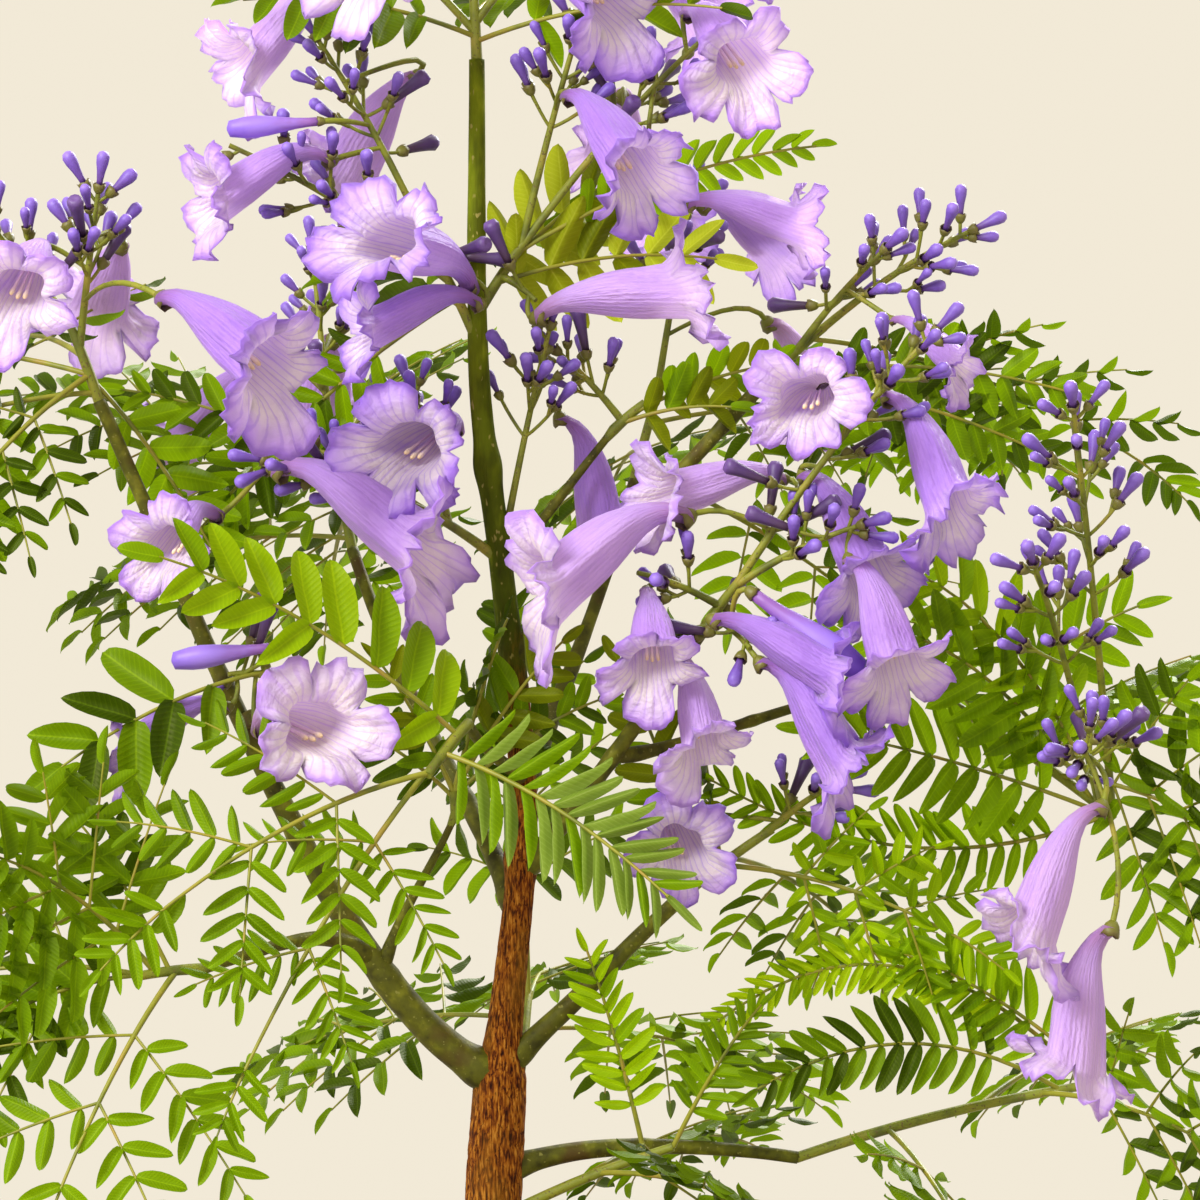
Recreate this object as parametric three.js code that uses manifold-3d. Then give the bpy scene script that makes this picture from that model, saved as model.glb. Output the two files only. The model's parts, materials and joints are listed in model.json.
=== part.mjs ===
// A potted dwarf jacaranda in flower: a plain stoneware pot filled with soil, one leaning trunk, tapering boughs,
// and masses of divided leaves and violet trumpet flowers. Millimetres, +Z up, origin under the middle of the pot.
import * as THREE from "three";
import { mergeVertices } from "three/addons/utils/BufferGeometryUtils.js";
import Module from "manifold-3d";

const wasm = await Module();
wasm.setup();

// Pot and soil
const POT_HEIGHT = 62;
const PLINTH = { length: 140, width: 96, corner: 20, height: 7 };
const POT_FOOT = { length: 150, width: 106, corner: 24 };
const POT_FLARE = 1.14;
const RIM = { length: 184, width: 134, corner: 30, height: 9 };
const POT_WALL = 7;
const POT_FLOOR = 9;
const DRAIN_RADIUS = 6;
const DRAIN_SPACING = 64;
const SOIL_EDGE = 52;
const SOIL_TOP = 56;
const MOUND_FLAT = 24;
const MOUND_FOOT = 56;

// Trunk: heights of the ground, the fork, the two swollen joints and the tip
const FORK_HEIGHT = 160;
const JOINT_HEIGHTS = [209, 295];
const TRUNK_TIP = 384;
const GROUND_RADIUS = 7.8;
const FORK_RADIUS = 5.9;
const LEADER_RADIUS = 3.7;
const TIP_RADIUS = 1.7;
const ROOT_FLARE = 6;
const ROOT_FLARE_HEIGHT = 7;
const ROOT_LOBES = 5;
const JOINT_SWELL = 0.7;

// Leaves and flowers
const CLEARANCE = 0.3;
const STEM_RADIUS = 1.2;
const STALK_RADIUS = 0.75;
const PEDICEL_RADIUS = 0.7;
const BLADE_THICKNESS = 1.1;
const FLOWER_LENGTH = 38;
const MOUTH_RADIUS = 13.5;
const BUD_LENGTH = 8;
const BUD_RADIUS = 1.9;

const CLAY = new THREE.Color(0x6f5a4d);
const EARTH = new THREE.Color(0x3f3128);
const BARK = new THREE.Color(0x8a5632);
const GREEN_BARK = new THREE.Color(0x6d6a38);
const FOLIAGE = new THREE.Color(0x5f9130);

const vector = (p) => new THREE.Vector3(p[0], p[1], p[2]);

// Closed solid from a three.js geometry, and back
function solid(geometry) {
  geometry.deleteAttribute("normal");
  geometry.deleteAttribute("uv");
  const merged = mergeVertices(geometry, 1e-4);
  const index = merged.index.array;
  const kept = [];
  for (let i = 0; i < index.length; i += 3) {
    const [a, b, c] = [index[i], index[i + 1], index[i + 2]];
    if (a !== b && b !== c && c !== a) {
      kept.push(a, b, c);
    }
  }
  const mesh = new wasm.Mesh({
    numProp: 3,
    vertProperties: new Float32Array(merged.attributes.position.array),
    triVerts: new Uint32Array(kept),
  });
  return new wasm.Manifold(mesh);
}

function geometryOf(manifold) {
  const mesh = manifold.getMesh();
  const geometry = new THREE.BufferGeometry();
  geometry.setAttribute("position", new THREE.BufferAttribute(new Float32Array(mesh.vertProperties), 3));
  geometry.setIndex(new THREE.BufferAttribute(new Uint32Array(mesh.triVerts), 1));
  return geometry;
}

// The largest body of a solid: sealed hollows are filled and loose scraps dropped
function largest(manifold) {
  let best = null;
  for (const body of manifold.decompose()) {
    if (best === null || body.volume() > best.volume()) {
      best = body;
    }
  }
  return best;
}

// A cylinder bent along a curve, its radius set by the share of the length and the angle round it; its far end
// may be sunk in the middle by a share of the length
function bent(curve, radiusAt, steps, sides, sunk = 0) {
  const geometry = new THREE.CylinderGeometry(1, 1, 1, sides, steps);
  const frames = curve.computeFrenetFrames(steps, false);
  const place = geometry.getAttribute("position");
  for (let i = 0; i < place.count; i += 1) {
    const share = place.getY(i) + 0.5;
    const ring = Math.round(share * steps);
    const [x, z] = [place.getX(i), place.getZ(i)];
    const radius = radiusAt(share, Math.atan2(x, z));
    const middle = share === 1 && Math.hypot(x, z) < 0.5;
    const point = curve.getPointAt(middle ? 1 - sunk : share);
    point.addScaledVector(frames.binormals[ring], x * radius);
    point.addScaledVector(frames.normals[ring], z * radius);
    place.setXYZ(i, point.x, point.y, point.z);
  }
  return solid(geometry);
}

const taper = (thick, thin) => (share) => thick + (thin - thick) * share;

// Rounded rectangle, lifted to a height and widened towards its top
function slab(size, low, high, flare) {
  const [halfX, halfY, r] = [size.length / 2, size.width / 2, size.corner];
  const outline = new THREE.Shape();
  outline.moveTo(halfX - r, -halfY);
  outline.absarc(halfX - r, r - halfY, r, -Math.PI / 2, 0);
  outline.absarc(halfX - r, halfY - r, r, 0, Math.PI / 2);
  outline.absarc(r - halfX, halfY - r, r, Math.PI / 2, Math.PI);
  outline.absarc(r - halfX, r - halfY, r, Math.PI, 1.5 * Math.PI);
  const geometry = new THREE.ExtrudeGeometry(outline, {
    depth: high - low,
    bevelEnabled: false,
    curveSegments: 4,
  });
  const place = geometry.getAttribute("position");
  for (let i = 0; i < place.count; i += 1) {
    const widen = place.getZ(i) > 0 ? flare : 1;
    place.setXYZ(i, place.getX(i) * widen, place.getY(i) * widen, place.getZ(i) + low);
  }
  return solid(geometry);
}

function cavity(gap, top) {
  const inner = {
    length: POT_FOOT.length - 2 * (POT_WALL + gap),
    width: POT_FOOT.width - 2 * (POT_WALL + gap),
    corner: POT_FOOT.corner - POT_WALL,
  };
  return slab(inner, POT_FLOOR + gap, top, POT_FLARE);
}

function buildPot() {
  const plinth = slab(PLINTH, 0, PLINTH.height + 1, 1);
  const body = slab(POT_FOOT, PLINTH.height, POT_HEIGHT - 1, POT_FLARE);
  const rim = slab(RIM, POT_HEIGHT - RIM.height, POT_HEIGHT, 1);
  let pot = plinth.add(body).add(rim).subtract(cavity(0, POT_HEIGHT + 1));
  for (const side of [-1, 1]) {
    const drain = new THREE.CylinderGeometry(DRAIN_RADIUS, DRAIN_RADIUS, 3 * POT_FLOOR, 12);
    drain.rotateX(Math.PI / 2);
    drain.translate((side * DRAIN_SPACING) / 2, 0, POT_FLOOR / 2);
    pot = pot.subtract(solid(drain));
  }
  return pot;
}

function buildSoil() {
  const fill = cavity(CLEARANCE, POT_HEIGHT + 1);
  const level = slab(RIM, 0, SOIL_EDGE, 1);
  const profile = [
    new THREE.Vector2(0, SOIL_EDGE - 8),
    new THREE.Vector2(MOUND_FOOT, SOIL_EDGE - 8),
    new THREE.Vector2(MOUND_FOOT, SOIL_EDGE - 0.2),
    new THREE.Vector2(MOUND_FLAT, SOIL_TOP),
    new THREE.Vector2(0, SOIL_TOP),
  ];
  const mound = new THREE.LatheGeometry(profile, 18);
  mound.rotateX(Math.PI / 2);
  return level.add(solid(mound)).intersect(fill);
}

// Trunk centreline: a lean to the right as far as the first joint, then back to the left
const TRUNK_LINE = new THREE.CatmullRomCurve3(
  [
    vector([-4, 0, SOIL_TOP + CLEARANCE]),
    vector([-3.4, 0, 90]),
    vector([0, 0, FORK_HEIGHT]),
    vector([5, 1, 219]),
    vector([0, 1, 275]),
    vector([-4.4, 0, 312]),
    vector([-5, 0, TRUNK_TIP]),
  ],
  false,
  "centripetal",
);

function trunkRadius(height) {
  let radius = 0;
  if (height < FORK_HEIGHT) {
    const climb = (height - SOIL_TOP) / (FORK_HEIGHT - SOIL_TOP);
    radius = GROUND_RADIUS + (FORK_RADIUS - GROUND_RADIUS) * climb;
    radius += ROOT_FLARE * Math.exp((SOIL_TOP - height) / ROOT_FLARE_HEIGHT);
  } else {
    const climb = (height - FORK_HEIGHT) / (TRUNK_TIP - FORK_HEIGHT);
    radius = LEADER_RADIUS + (TIP_RADIUS - LEADER_RADIUS) * climb;
    radius += (FORK_RADIUS - LEADER_RADIUS) * Math.exp((FORK_HEIGHT - height) / 7);
  }
  for (const joint of JOINT_HEIGHTS) {
    radius += JOINT_SWELL * Math.exp(-(((height - joint) / 4) ** 2));
  }
  return radius;
}

function buildTrunk(extra) {
  const around = (share, angle) => {
    const height = TRUNK_LINE.getPointAt(share).z;
    const lobe = 0.2 * Math.exp((SOIL_TOP - height) / ROOT_FLARE_HEIGHT) * Math.cos(ROOT_LOBES * angle);
    return trunkRadius(height) * (1 + lobe) + extra;
  };
  return bent(TRUNK_LINE, around, 21, 10);
}

// A bough grows from the trunk at a height, or from another bough at a share of its length
const bough = (name, parent, where, tip, leave, arrive, thick, thin) => {
  return { name, parent, where, tip, leave, arrive, thick, thin };
};

const BOUGHS = [
  bough("left_bough", "trunk", 160, [-87, -8, 309], [-32, -2, 12], [-27, -2, 61], 3.9, 1.5),
  bough("left_low_bough", "left_bough", 0.22, [-62, -32, 188], [-9, -6, 10], [-16, -12, -4], 2.2, 1.1),
  bough("left_side_bough", "left_bough", 0.56, [-49, -17, 247], [3, -8, 4], [1, -4, 8], 1.7, 1.0),
  bough("left_shoot", "left_bough", 0.2, [-9.5, -7, 219], [2, -2, 12], [6, -1, 14], 1.4, 0.8),
  bough("right_bough", "trunk", 162, [38, 2, 198], [14, 0, 12], [11, 1, 10], 2.7, 1.7),
  bough("right_middle_bough", "trunk", 205, [44, -14, 259], [10, -3, 11], [11, -3, 16], 2.4, 1.5),
  bough("right_far_bough", "right_middle_bough", 0.5, [92, 14, 247], [14, 6, 0], [22, 2, 2], 1.5, 1.0),
  bough("right_upper_bough", "trunk", 252, [57, 12, 312], [18, 4, 21], [16, 2, 17], 2.3, 1.6),
  bough("low_right_bough", "trunk", 138, [66, 8, 141], [16, 3, 9], [18, 2, -3], 2.6, 1.4),
  bough("leaf_stalk_bough", "trunk", 272, [25, 8, 303], [8, 3, 9], [10, 2, 12], 1.4, 0.9),
  bough("back_left_bough", "trunk", 196, [-36, 56, 276], [-8, 20, 22], [-14, 16, 40], 2.6, 1.4),
  bough("back_right_bough", "trunk", 222, [30, 58, 292], [6, 20, 18], [10, 18, 36], 2.4, 1.3),
  bough("back_low_bough", "trunk", 120, [4, 60, 160], [2, 22, 12], [2, 20, 14], 2.6, 1.4),
  bough("front_bough", "trunk", 226, [-6, -30, 240], [-2, -10, 3], [-2, -10, 6], 1.7, 1.1),
];

const limbs = new Map();
limbs.set("trunk", { curve: TRUNK_LINE, body: buildTrunk(0), grown: buildTrunk(CLEARANCE) });

// Point of the trunk at a height, found by halving
function trunkPoint(height) {
  let [low, high] = [0, 1];
  for (let i = 0; i < 40; i += 1) {
    const middle = (low + high) / 2;
    if (TRUNK_LINE.getPointAt(middle).z < height) {
      low = middle;
    } else {
      high = middle;
    }
  }
  return TRUNK_LINE.getPointAt(low);
}

function startOn(parent, where) {
  return parent === "trunk" ? trunkPoint(where) : limbs.get(parent).curve.getPointAt(where);
}

for (const row of BOUGHS) {
  const start = startOn(row.parent, row.where);
  const tip = vector(row.tip);
  const curve = new THREE.CubicBezierCurve3(
    start,
    start.clone().add(vector(row.leave)),
    tip.clone().sub(vector(row.arrive)),
    tip,
  );
  const thickness = (share) => row.thin + (row.thick - row.thin) * (1 - share) ** 1.6;
  let body = bent(curve, thickness, 6, 5);
  for (const limb of limbs.values()) {
    body = body.subtract(limb.grown);
  }
  const grown = bent(curve, (share) => thickness(share) + CLEARANCE, 6, 5);
  limbs.set(row.name, { curve, body: largest(body), grown });
}

// What a mass carries, each part starting at a share along the stem of the mass:
// frond, a twice-divided leaf with its blades as pinnae; spray, a once-divided leaf with its blades as leaflets;
// spike, a flower stalk with buds at its end and open flowers on pedicels
const leaf = (share, tip, blade, tilt, rise, pairs, wide) => {
  return { kind: "leaf", share, tip, blade, tilt, rise, pairs, wide };
};
const frond = (share, tip, blade, tilt) => leaf(share, tip, blade, tilt, 0.12, 2, 0.5);
const spray = (share, tip, blade, tilt, rise = 0.12) => leaf(share, tip, blade, tilt, rise, 3, 0.55);
const spike = (share, tip, buds, flowers) => ({ kind: "spike", share, tip, buds, flowers });
const flower = (share, base, heading, pitch, size, open) => ({ share, base, heading, pitch, size, open });
const mass = (name, parent, where, tip, parts) => ({ name, parent, where, tip, parts });

const MASSES = [
  mass("crown_top", "trunk", 1, [-6, 2, 404], [
    spike(0.9, [-12, -2, 434], 1, [
      flower(0.2, [-18, -8, 408], 250, -18, 0.95, 1),
      flower(0.35, [6, -10, 408], -40, -30, 1, 1),
    ]),
    spike(0.4, [24, 8, 426], 1, [
      flower(0.4, [22, 0, 404], -20, 5, 0.95, 1),
      flower(0.7, [28, 14, 412], 40, -35, 0.9, 1),
    ]),
    spike(0.3, [-38, 6, 420], 1, [
      flower(0.5, [-34, 0, 400], 195, -40, 0.95, 1),
    ]),
    spray(0.2, [48, -26, 392], 16, 50),
    spray(0.25, [-54, -24, 394], 16, 50),
    spray(0.5, [8, 62, 404], 18, 20),
  ]),
  mass("upper_left", "trunk", 322, [-14, -5, 341], [
    spike(0.95, [-39, -12, 387], 1, [
      flower(0.05, [-6, -8, 333], 237, 16, 1.1, 1),
      flower(0.02, [-4, -11, 330], 200, -14, 0.9, 1),
      flower(0.5, [-36, -12, 361], 203, -20, 0.95, 1),
      flower(0.6, [-38, -16, 369], 182, -5, 0.55, 0),
      flower(0.8, [-18, 4, 381], 160, -50, 0.95, 1),
    ]),
    spike(0.7, [-58, -14, 364], 2, []),
    spray(0.5, [-74, 16, 273], 17, 98),
    spray(0.4, [-40, 46, 340], 18, 30),
  ]),
  mass("upper_right", "trunk", 328, [6, 1, 345], [
    spike(0.5, [8, -6, 331], 0, [flower(0.8, [8, -7, 327], -4, 10, 1.08, 1)]),
    spike(0.9, [18, -6, 392], 1, [flower(0.6, [15, -12, 375], -50, -38, 1, 1)]),
    spike(0.7, [46, 2, 390], 1, [
      flower(0.75, [41, -4, 352], 12, -10, 0.85, 1),
      flower(0.9, [41, -2, 394], -60, -30, 0.95, 1),
      flower(0.6, [27, 16, 378], 95, -30, 0.9, 1),
    ]),
    spray(0.4, [48, 10, 341], 17, 76),
    spray(0.6, [31, 16, 362], 15, 92),
    spray(0.8, [70, 10, 366], 12, 55),
    spray(0.7, [22, 60, 352], 18, 25),
  ]),
  mass("inner_right", "leaf_stalk_bough", 1, [32, 9, 309], [
    spray(0.5, [66, 8, 318], 12, 60),
    spray(0.2, [51, 4, 308], 13, 65),
    spike(0.3, [13, 6, 320], 1, [flower(0.6, [13, 14, 306], 30, -68, 0.95, 1)]),
  ]),
  mass("left", "left_bough", 1, [-94, -10, 328], [
    spike(0.6, [-86, -16, 354], 2, [
      flower(0.3, [-70, -38, 330], -32, -28, 1.1, 1),
      flower(0.5, [-98, -16, 342], 265, -25, 0.95, 1),
      flower(0.7, [-84, 8, 344], 110, -30, 0.9, 1),
    ]),
    spike(0.9, [-112, -4, 348], 1, [
      flower(0.4, [-110, -12, 336], 212, -42, 0.95, 1),
    ]),
    spray(0.25, [-62, 2, 274], 16, 76),
    frond(0.1, [-146, -26, 292], 34, 70),
    frond(0.3, [-156, 8, 318], 34, 68),
    frond(0.5, [-122, 56, 322], 34, 30),
    frond(0.3, [-118, -30, 282], 24, 62),
  ]),
  mass("left_center", "trunk", 274, [-14, -6, 284], [
    spike(0.8, [-20, 6, 312], 1, [flower(0.5, [-10, 9, 303], -108, -9, 1.05, 1)]),
    spike(0.95, [-50, -12, 296], 1, [
      flower(0.75, [-48, -13, 294], -19, -27, 1.25, 1),
      flower(0.98, [-61, -9, 284], -112, -16, 0.85, 1),
    ]),
    spray(0.9, [-84, 6, 312], 14, 78),
    frond(0.5, [-70, 44, 296], 30, 30),
  ]),
  mass("left_mid", "left_side_bough", 1, [-51, -20, 256], [
    spike(0.3, [-58, -20, 250], 1, [
      flower(0.3, [-51, -21, 238], -62, 4, 1.1, 1),
      flower(0.8, [-58, -20, 243], 182, -24, 0.8, 1),
      flower(0.6, [-48, -22, 256], 178, -8, 0.6, 0),
    ]),
    spray(0.4, [-92, -34, 231], 20, 62),
  ]),
  mass("inner_left", "left_shoot", 1, [-10, -8, 224], [
    spray(0.95, [-26, -16, 253], 13, 100),
    spray(0.9, [14, -15, 257], 14, 88),
  ]),
  mass("lower_left", "left_low_bough", 1, [-76, -38, 187], [
    frond(0.4, [-88, -60, 148], 42, 36),
    frond(0.9, [-118, -36, 186], 40, 66),
    frond(0.7, [-96, -58, 212], 34, 98),
  ]),
  mass("front", "front_bough", 1, [-14, -44, 230], [
    spray(0.25, [-68, -62, 276], 19, 76),
    spray(0.6, [36, -58, 206], 19, 104),
    frond(0.4, [-50, -70, 172], 28, 48),
    frond(0.95, [-66, -70, 205], 34, 64),
  ]),
  mass("right_center", "right_middle_bough", 1, [52, -18, 270], [
    spike(0.95, [93, -26, 323], 2, [
      flower(0.75, [84, -16, 310], -50, -52, 1.05, 1),
      flower(0.6, [71, -12, 311], -102, -5, 0.95, 1),
      flower(0.25, [62, -6, 292], 200, -8, 0.95, 1),
      flower(0.2, [41, -22, 284], 203, -26, 1.25, 1),
      flower(0.45, [66, -14, 293], -35, -52, 0.95, 1),
    ]),
    spike(0.9, [77, -28, 282], 2, [
      flower(0.95, [75, -28, 275], -42, -60, 0.92, 1),
    ]),
    spike(0.5, [30, -26, 272], 1, [
      flower(0.6, [32, -20, 268], -85, -42, 0.78, 1),
    ]),
    spike(0.3, [54, -28, 256], 1, [
      flower(0.3, [38, -19, 255], -60, -58, 0.8, 1),
      flower(0.4, [46, -28, 262], -10, -24, 0.95, 1),
      flower(0.7, [56, -28, 253], -20, -50, 0.95, 1),
      flower(0.5, [54, -28, 268], -12, -35, 0.8, 0),
    ]),
  ]),
  mass("right_upper", "right_upper_bough", 1, [72, 12, 326], [
    spike(0.95, [104, 8, 347], 3, []),
    spike(0.6, [84, 0, 342], 1, [flower(0.6, [86, -2, 327], -20, -35, 0.6, 1)]),
    spray(0.2, [130, 20, 311], 14, 78),
    spray(0.1, [126, 26, 296], 13, 76),
    frond(0.5, [112, 62, 303], 34, 30),
    frond(0.8, [148, 48, 296], 30, 35),
  ]),
  mass("right", "right_far_bough", 1, [136, 8, 217], [
    spray(0.97, [86, -6, 273], 17, 82, 0.3),
    spray(0.9, [82, -14, 260], 18, 82, 0.24),
    spray(1, [68, -16, 238], 17, 82, 0.05),
    spray(0.98, [46, 2, 226], 13, 80, -0.25),
    frond(0.72, [156, -12, 216], 36, 76),
    frond(0.5, [146, 46, 242], 35, 28),
    spike(1, [120, -50, 306], 2, []),
    spike(0.93, [112, -50, 274], 1, []),
    spike(0.95, [122, -50, 236], 1, [
      flower(0.8, [126, -50, 224], 200, -58, 1, 1),
      flower(0.92, [128, -52, 199], 200, -72, 1, 1),
    ]),
  ]),
  mass("right_low", "right_bough", 1, [60, 0, 215], [
    spike(0.95, [74, -8, 226], 1, [
      flower(0.2, [35, 4, 217], -80, -10, 0.9, 1),
    ]),
    frond(0.5, [100, -6, 192], 24, 80),
    frond(0.6, [86, 52, 182], 30, 30),
  ]),
  mass("low_right", "low_right_bough", 1, [134, 6, 158], [
    spray(0.95, [46, -6, 172], 12, 76, 0.46),
    spray(0.86, [55, -20, 160], 14, 76, 0.28),
    spray(1, [88, -2, 188], 13, 82),
    frond(0.8, [156, -34, 148], 32, 68),
    frond(0.6, [142, 48, 160], 34, 30),
    frond(0.3, [104, -44, 122], 32, 40),
  ]),
  mass("low_shoot", "trunk", 128, [38, -8, 146], [
    spray(0.85, [19, -12, 190], 12, 14),
    spray(1, [57, -14, 178], 11, 80),
    frond(0.6, [62, -40, 135], 30, 35),
    frond(0.5, [50, 38, 141], 31, 28),
  ]),
  mass("back_left", "back_left_bough", 1, [-42, 64, 300], [
    spike(0.9, [-46, 66, 346], 1, [
      flower(0.3, [-56, 66, 318], 170, -40, 1, 1),
      flower(0.5, [-42, 76, 326], 100, -35, 1, 1),
    ]),
    frond(0.1, [-92, 82, 270], 38, 30),
    frond(0.3, [-46, 118, 262], 38, 25),
    frond(0.5, [-98, 66, 312], 34, 35),
    frond(0.8, [-30, 108, 318], 34, 30),
  ]),
  mass("back_right", "back_right_bough", 1, [36, 66, 314], [
    spike(0.9, [44, 70, 360], 1, [
      flower(0.3, [62, 76, 330], 60, -40, 1, 1),
      flower(0.9, [30, 82, 372], 70, -35, 1, 1),
      flower(0.7, [46, 68, 357], 45, -20, 0.9, 1),
    ]),
    frond(0.1, [104, 86, 246], 38, 30),
    frond(0.3, [24, 122, 288], 38, 25),
    frond(0.6, [94, 70, 306], 34, 35),
  ]),
  mass("back_low", "back_low_bough", 1, [5, 72, 170], [
    frond(0.2, [62, 92, 148], 38, 25),
    frond(0.4, [-52, 92, 154], 38, 25),
    frond(0.6, [9, 130, 167], 38, 21),
    frond(0.9, [2, 86, 248], 36, 40),
  ]),
];

// Unit direction from a heading round the trunk and a pitch above the level, in degrees
function direction(heading, pitch) {
  const [h, p] = [(heading * Math.PI) / 180, (pitch * Math.PI) / 180];
  return new THREE.Vector3(Math.cos(h) * Math.cos(p), Math.sin(h) * Math.cos(p), Math.sin(p));
}

// Places a geometry that was made along +Y so that it starts at a point and runs along a direction
function along(geometry, start, way) {
  geometry.applyQuaternion(new THREE.Quaternion().setFromUnitVectors(new THREE.Vector3(0, 1, 0), way));
  geometry.translate(start.x, start.y, start.z);
  return geometry;
}

function arch(start, tip, rise) {
  const middle = start.clone().add(tip).multiplyScalar(0.5);
  middle.z += rise * start.distanceTo(tip);
  return new THREE.QuadraticBezierCurve3(start, middle, tip);
}

// Spindle of three sides and six faces, one unit long and wide, pointed at both ends
function spindle() {
  const profile = [new THREE.Vector2(0, 0), new THREE.Vector2(0.577, 0.5), new THREE.Vector2(0, 1)];
  return new THREE.LatheGeometry(profile, 3);
}

// Leaf blade: a flattened spindle, keeled on one face, whose root lies inside its stalk
function bladeSolid(root, way, side, length, width) {
  const blade = spindle();
  const across = side.clone().addScaledVector(way, -side.dot(way)).normalize();
  const normal = new THREE.Vector3().crossVectors(across, way);
  const frame = new THREE.Matrix4().makeBasis(
    across.multiplyScalar(width),
    way.clone().multiplyScalar(length),
    normal.multiplyScalar(BLADE_THICKNESS),
  );
  blade.applyMatrix4(frame);
  blade.translate(root.x, root.y, root.z);
  return solid(blade);
}

// Flower with its pedicel: a thin stalk that bends into a narrow tube, swells and opens at the mouth
function flowerSolid(joint, base, way, size, open) {
  const long = FLOWER_LENGTH * size;
  const bend = base.clone().addScaledVector(way, -0.35 * joint.distanceTo(base));
  const line = new THREE.CatmullRomCurve3([
    joint,
    joint.clone().add(bend).multiplyScalar(0.5),
    base,
    base.clone().addScaledVector(way, long / 2),
    base.clone().addScaledVector(way, long),
  ]);
  const stalk = 1 - long / line.getLength();
  const mouth = open ? MOUTH_RADIUS * size : 0.25 * MOUTH_RADIUS * size;
  const thickness = (share) => {
    const part = (share - stalk) / (1 - stalk);
    if (part <= 0) {
      return PEDICEL_RADIUS;
    }
    const tube = PEDICEL_RADIUS + 0.5 * MOUTH_RADIUS * size * Math.sin(Math.min(1, part) * 1.5) ** 1.4;
    return share === 1 ? mouth : tube;
  };
  return bent(line, thickness, 5, 5, open ? 0.2 * (1 - stalk) : 0);
}

function budSolid(base, way) {
  const bud = spindle();
  bud.scale(2 * BUD_RADIUS, BUD_LENGTH, 2 * BUD_RADIUS);
  return solid(along(bud, base, way));
}

// Solids already placed, each with the node that owns it and the sprig of that node it belongs to
const placed = [];

function place(owner, sprig, body) {
  const box = body.boundingBox();
  placed.push({ owner, sprig, body, box });
}

function boxesNear(a, b) {
  return [0, 1, 2].every((i) => a.min[i] - 1 < b.max[i] && b.min[i] - 1 < a.max[i]);
}

// True where a solid would touch a limb, another mass or, for a shy one, another sprig of its own mass
function blocked(owner, sprig, body, shy) {
  const box = body.boundingBox();
  for (const other of placed) {
    const apart = other.owner !== owner || (shy && other.sprig !== sprig);
    if (apart && boxesNear(box, other.box) && other.body.minGap(body, 1) < CLEARANCE) {
      return true;
    }
  }
  return false;
}

for (const [name, limb] of limbs) {
  place(name, 0, limb.body);
}

const grown = new Map();

function fuse(owner, sprig, body, shy) {
  if (body.isEmpty() || blocked(owner, sprig, body, shy)) {
    return false;
  }
  place(owner, sprig, body);
  grown.get(owner).push(body);
  return true;
}

// First the stem of every mass
for (const row of MASSES) {
  grown.set(row.name, []);
  const limb = limbs.get(row.parent);
  const fromTip = row.where === 1;
  const start = fromTip ? limb.curve.getPointAt(1) : startOn(row.parent, row.where);
  if (fromTip) {
    start.addScaledVector(limb.curve.getTangentAt(1), CLEARANCE + 0.05);
  }
  row.stem = arch(start, vector(row.tip), 0.05);
  let stem = bent(row.stem, taper(STEM_RADIUS, 0.85 * STEM_RADIUS), 2, 4);
  for (const other of limbs.values()) {
    stem = stem.subtract(other.grown);
  }
  place(row.name, -1, largest(stem));
  grown.get(row.name).push(largest(stem));
}

// Then stalks, pedicels and flowers, and last the blades that still find room
function growSpike(row, part, sprig) {
  const axis = arch(row.stem.getPointAt(part.share), vector(part.tip), 0.08);
  if (!fuse(row.name, sprig, bent(axis, taper(STALK_RADIUS * 1.2, STALK_RADIUS), 3, 3), false)) {
    return;
  }
  for (const bloom of part.flowers) {
    const base = vector(bloom.base);
    const way = direction(bloom.heading, bloom.pitch);
    const joint = axis.getPointAt(bloom.share);
    fuse(row.name, sprig, flowerSolid(joint, base, way, bloom.size, bloom.open), false);
  }
  for (let i = 0; i < part.buds; i += 1) {
    const share = 1 - (0.5 * i) / part.buds;
    const way = axis.getTangentAt(share);
    const turn = direction(137.5 * i, 30);
    fuse(row.name, sprig, budSolid(axis.getPointAt(share), way.add(turn).normalize()), true);
  }
}

function growLeafStalk(row, part, sprig) {
  const line = arch(row.stem.getPointAt(part.share), vector(part.tip), part.rise);
  if (fuse(row.name, sprig, bent(line, taper(STALK_RADIUS, 0.6 * STALK_RADIUS), 3, 3), false)) {
    part.line = line;
  }
}

// Pairs of blades lean towards the tip of the leaf and shorten along it; one more ends the leaf
function growBlades(row, part, sprig) {
  const tilt = (part.tilt * Math.PI) / 180;
  for (let i = 0; i <= part.pairs; i += 1) {
    const share = 0.34 + (0.64 * i) / part.pairs;
    const root = part.line.getPointAt(share);
    const way = part.line.getTangentAt(share);
    const up = Math.abs(way.z) > 0.94 ? new THREE.Vector3(0, -1, 0) : new THREE.Vector3(0, 0, 1);
    const normal = up.addScaledVector(way, -up.dot(way)).normalize();
    const level = new THREE.Vector3().crossVectors(way, normal);
    const side = level.multiplyScalar(Math.cos(tilt)).addScaledVector(normal, Math.sin(tilt));
    const length = part.blade * (1 - 0.45 * (i / part.pairs) ** 2);
    const spread = ((64 - 26 * (i / part.pairs)) * Math.PI) / 180;
    const ways = i === part.pairs ? [0] : [-1, 1];
    for (const hand of ways) {
      const aim = way.clone().multiplyScalar(hand === 0 ? 1 : Math.cos(spread));
      aim.addScaledVector(side, hand * Math.sin(spread));
      aim.z -= 0.12;
      aim.normalize();
      const across = hand === 0 ? side : way;
      const foot = root.clone().addScaledVector(aim, 0.2);
      fuse(row.name, sprig, bladeSolid(foot, aim, across, length, length * part.wide), true);
    }
  }
}

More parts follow.
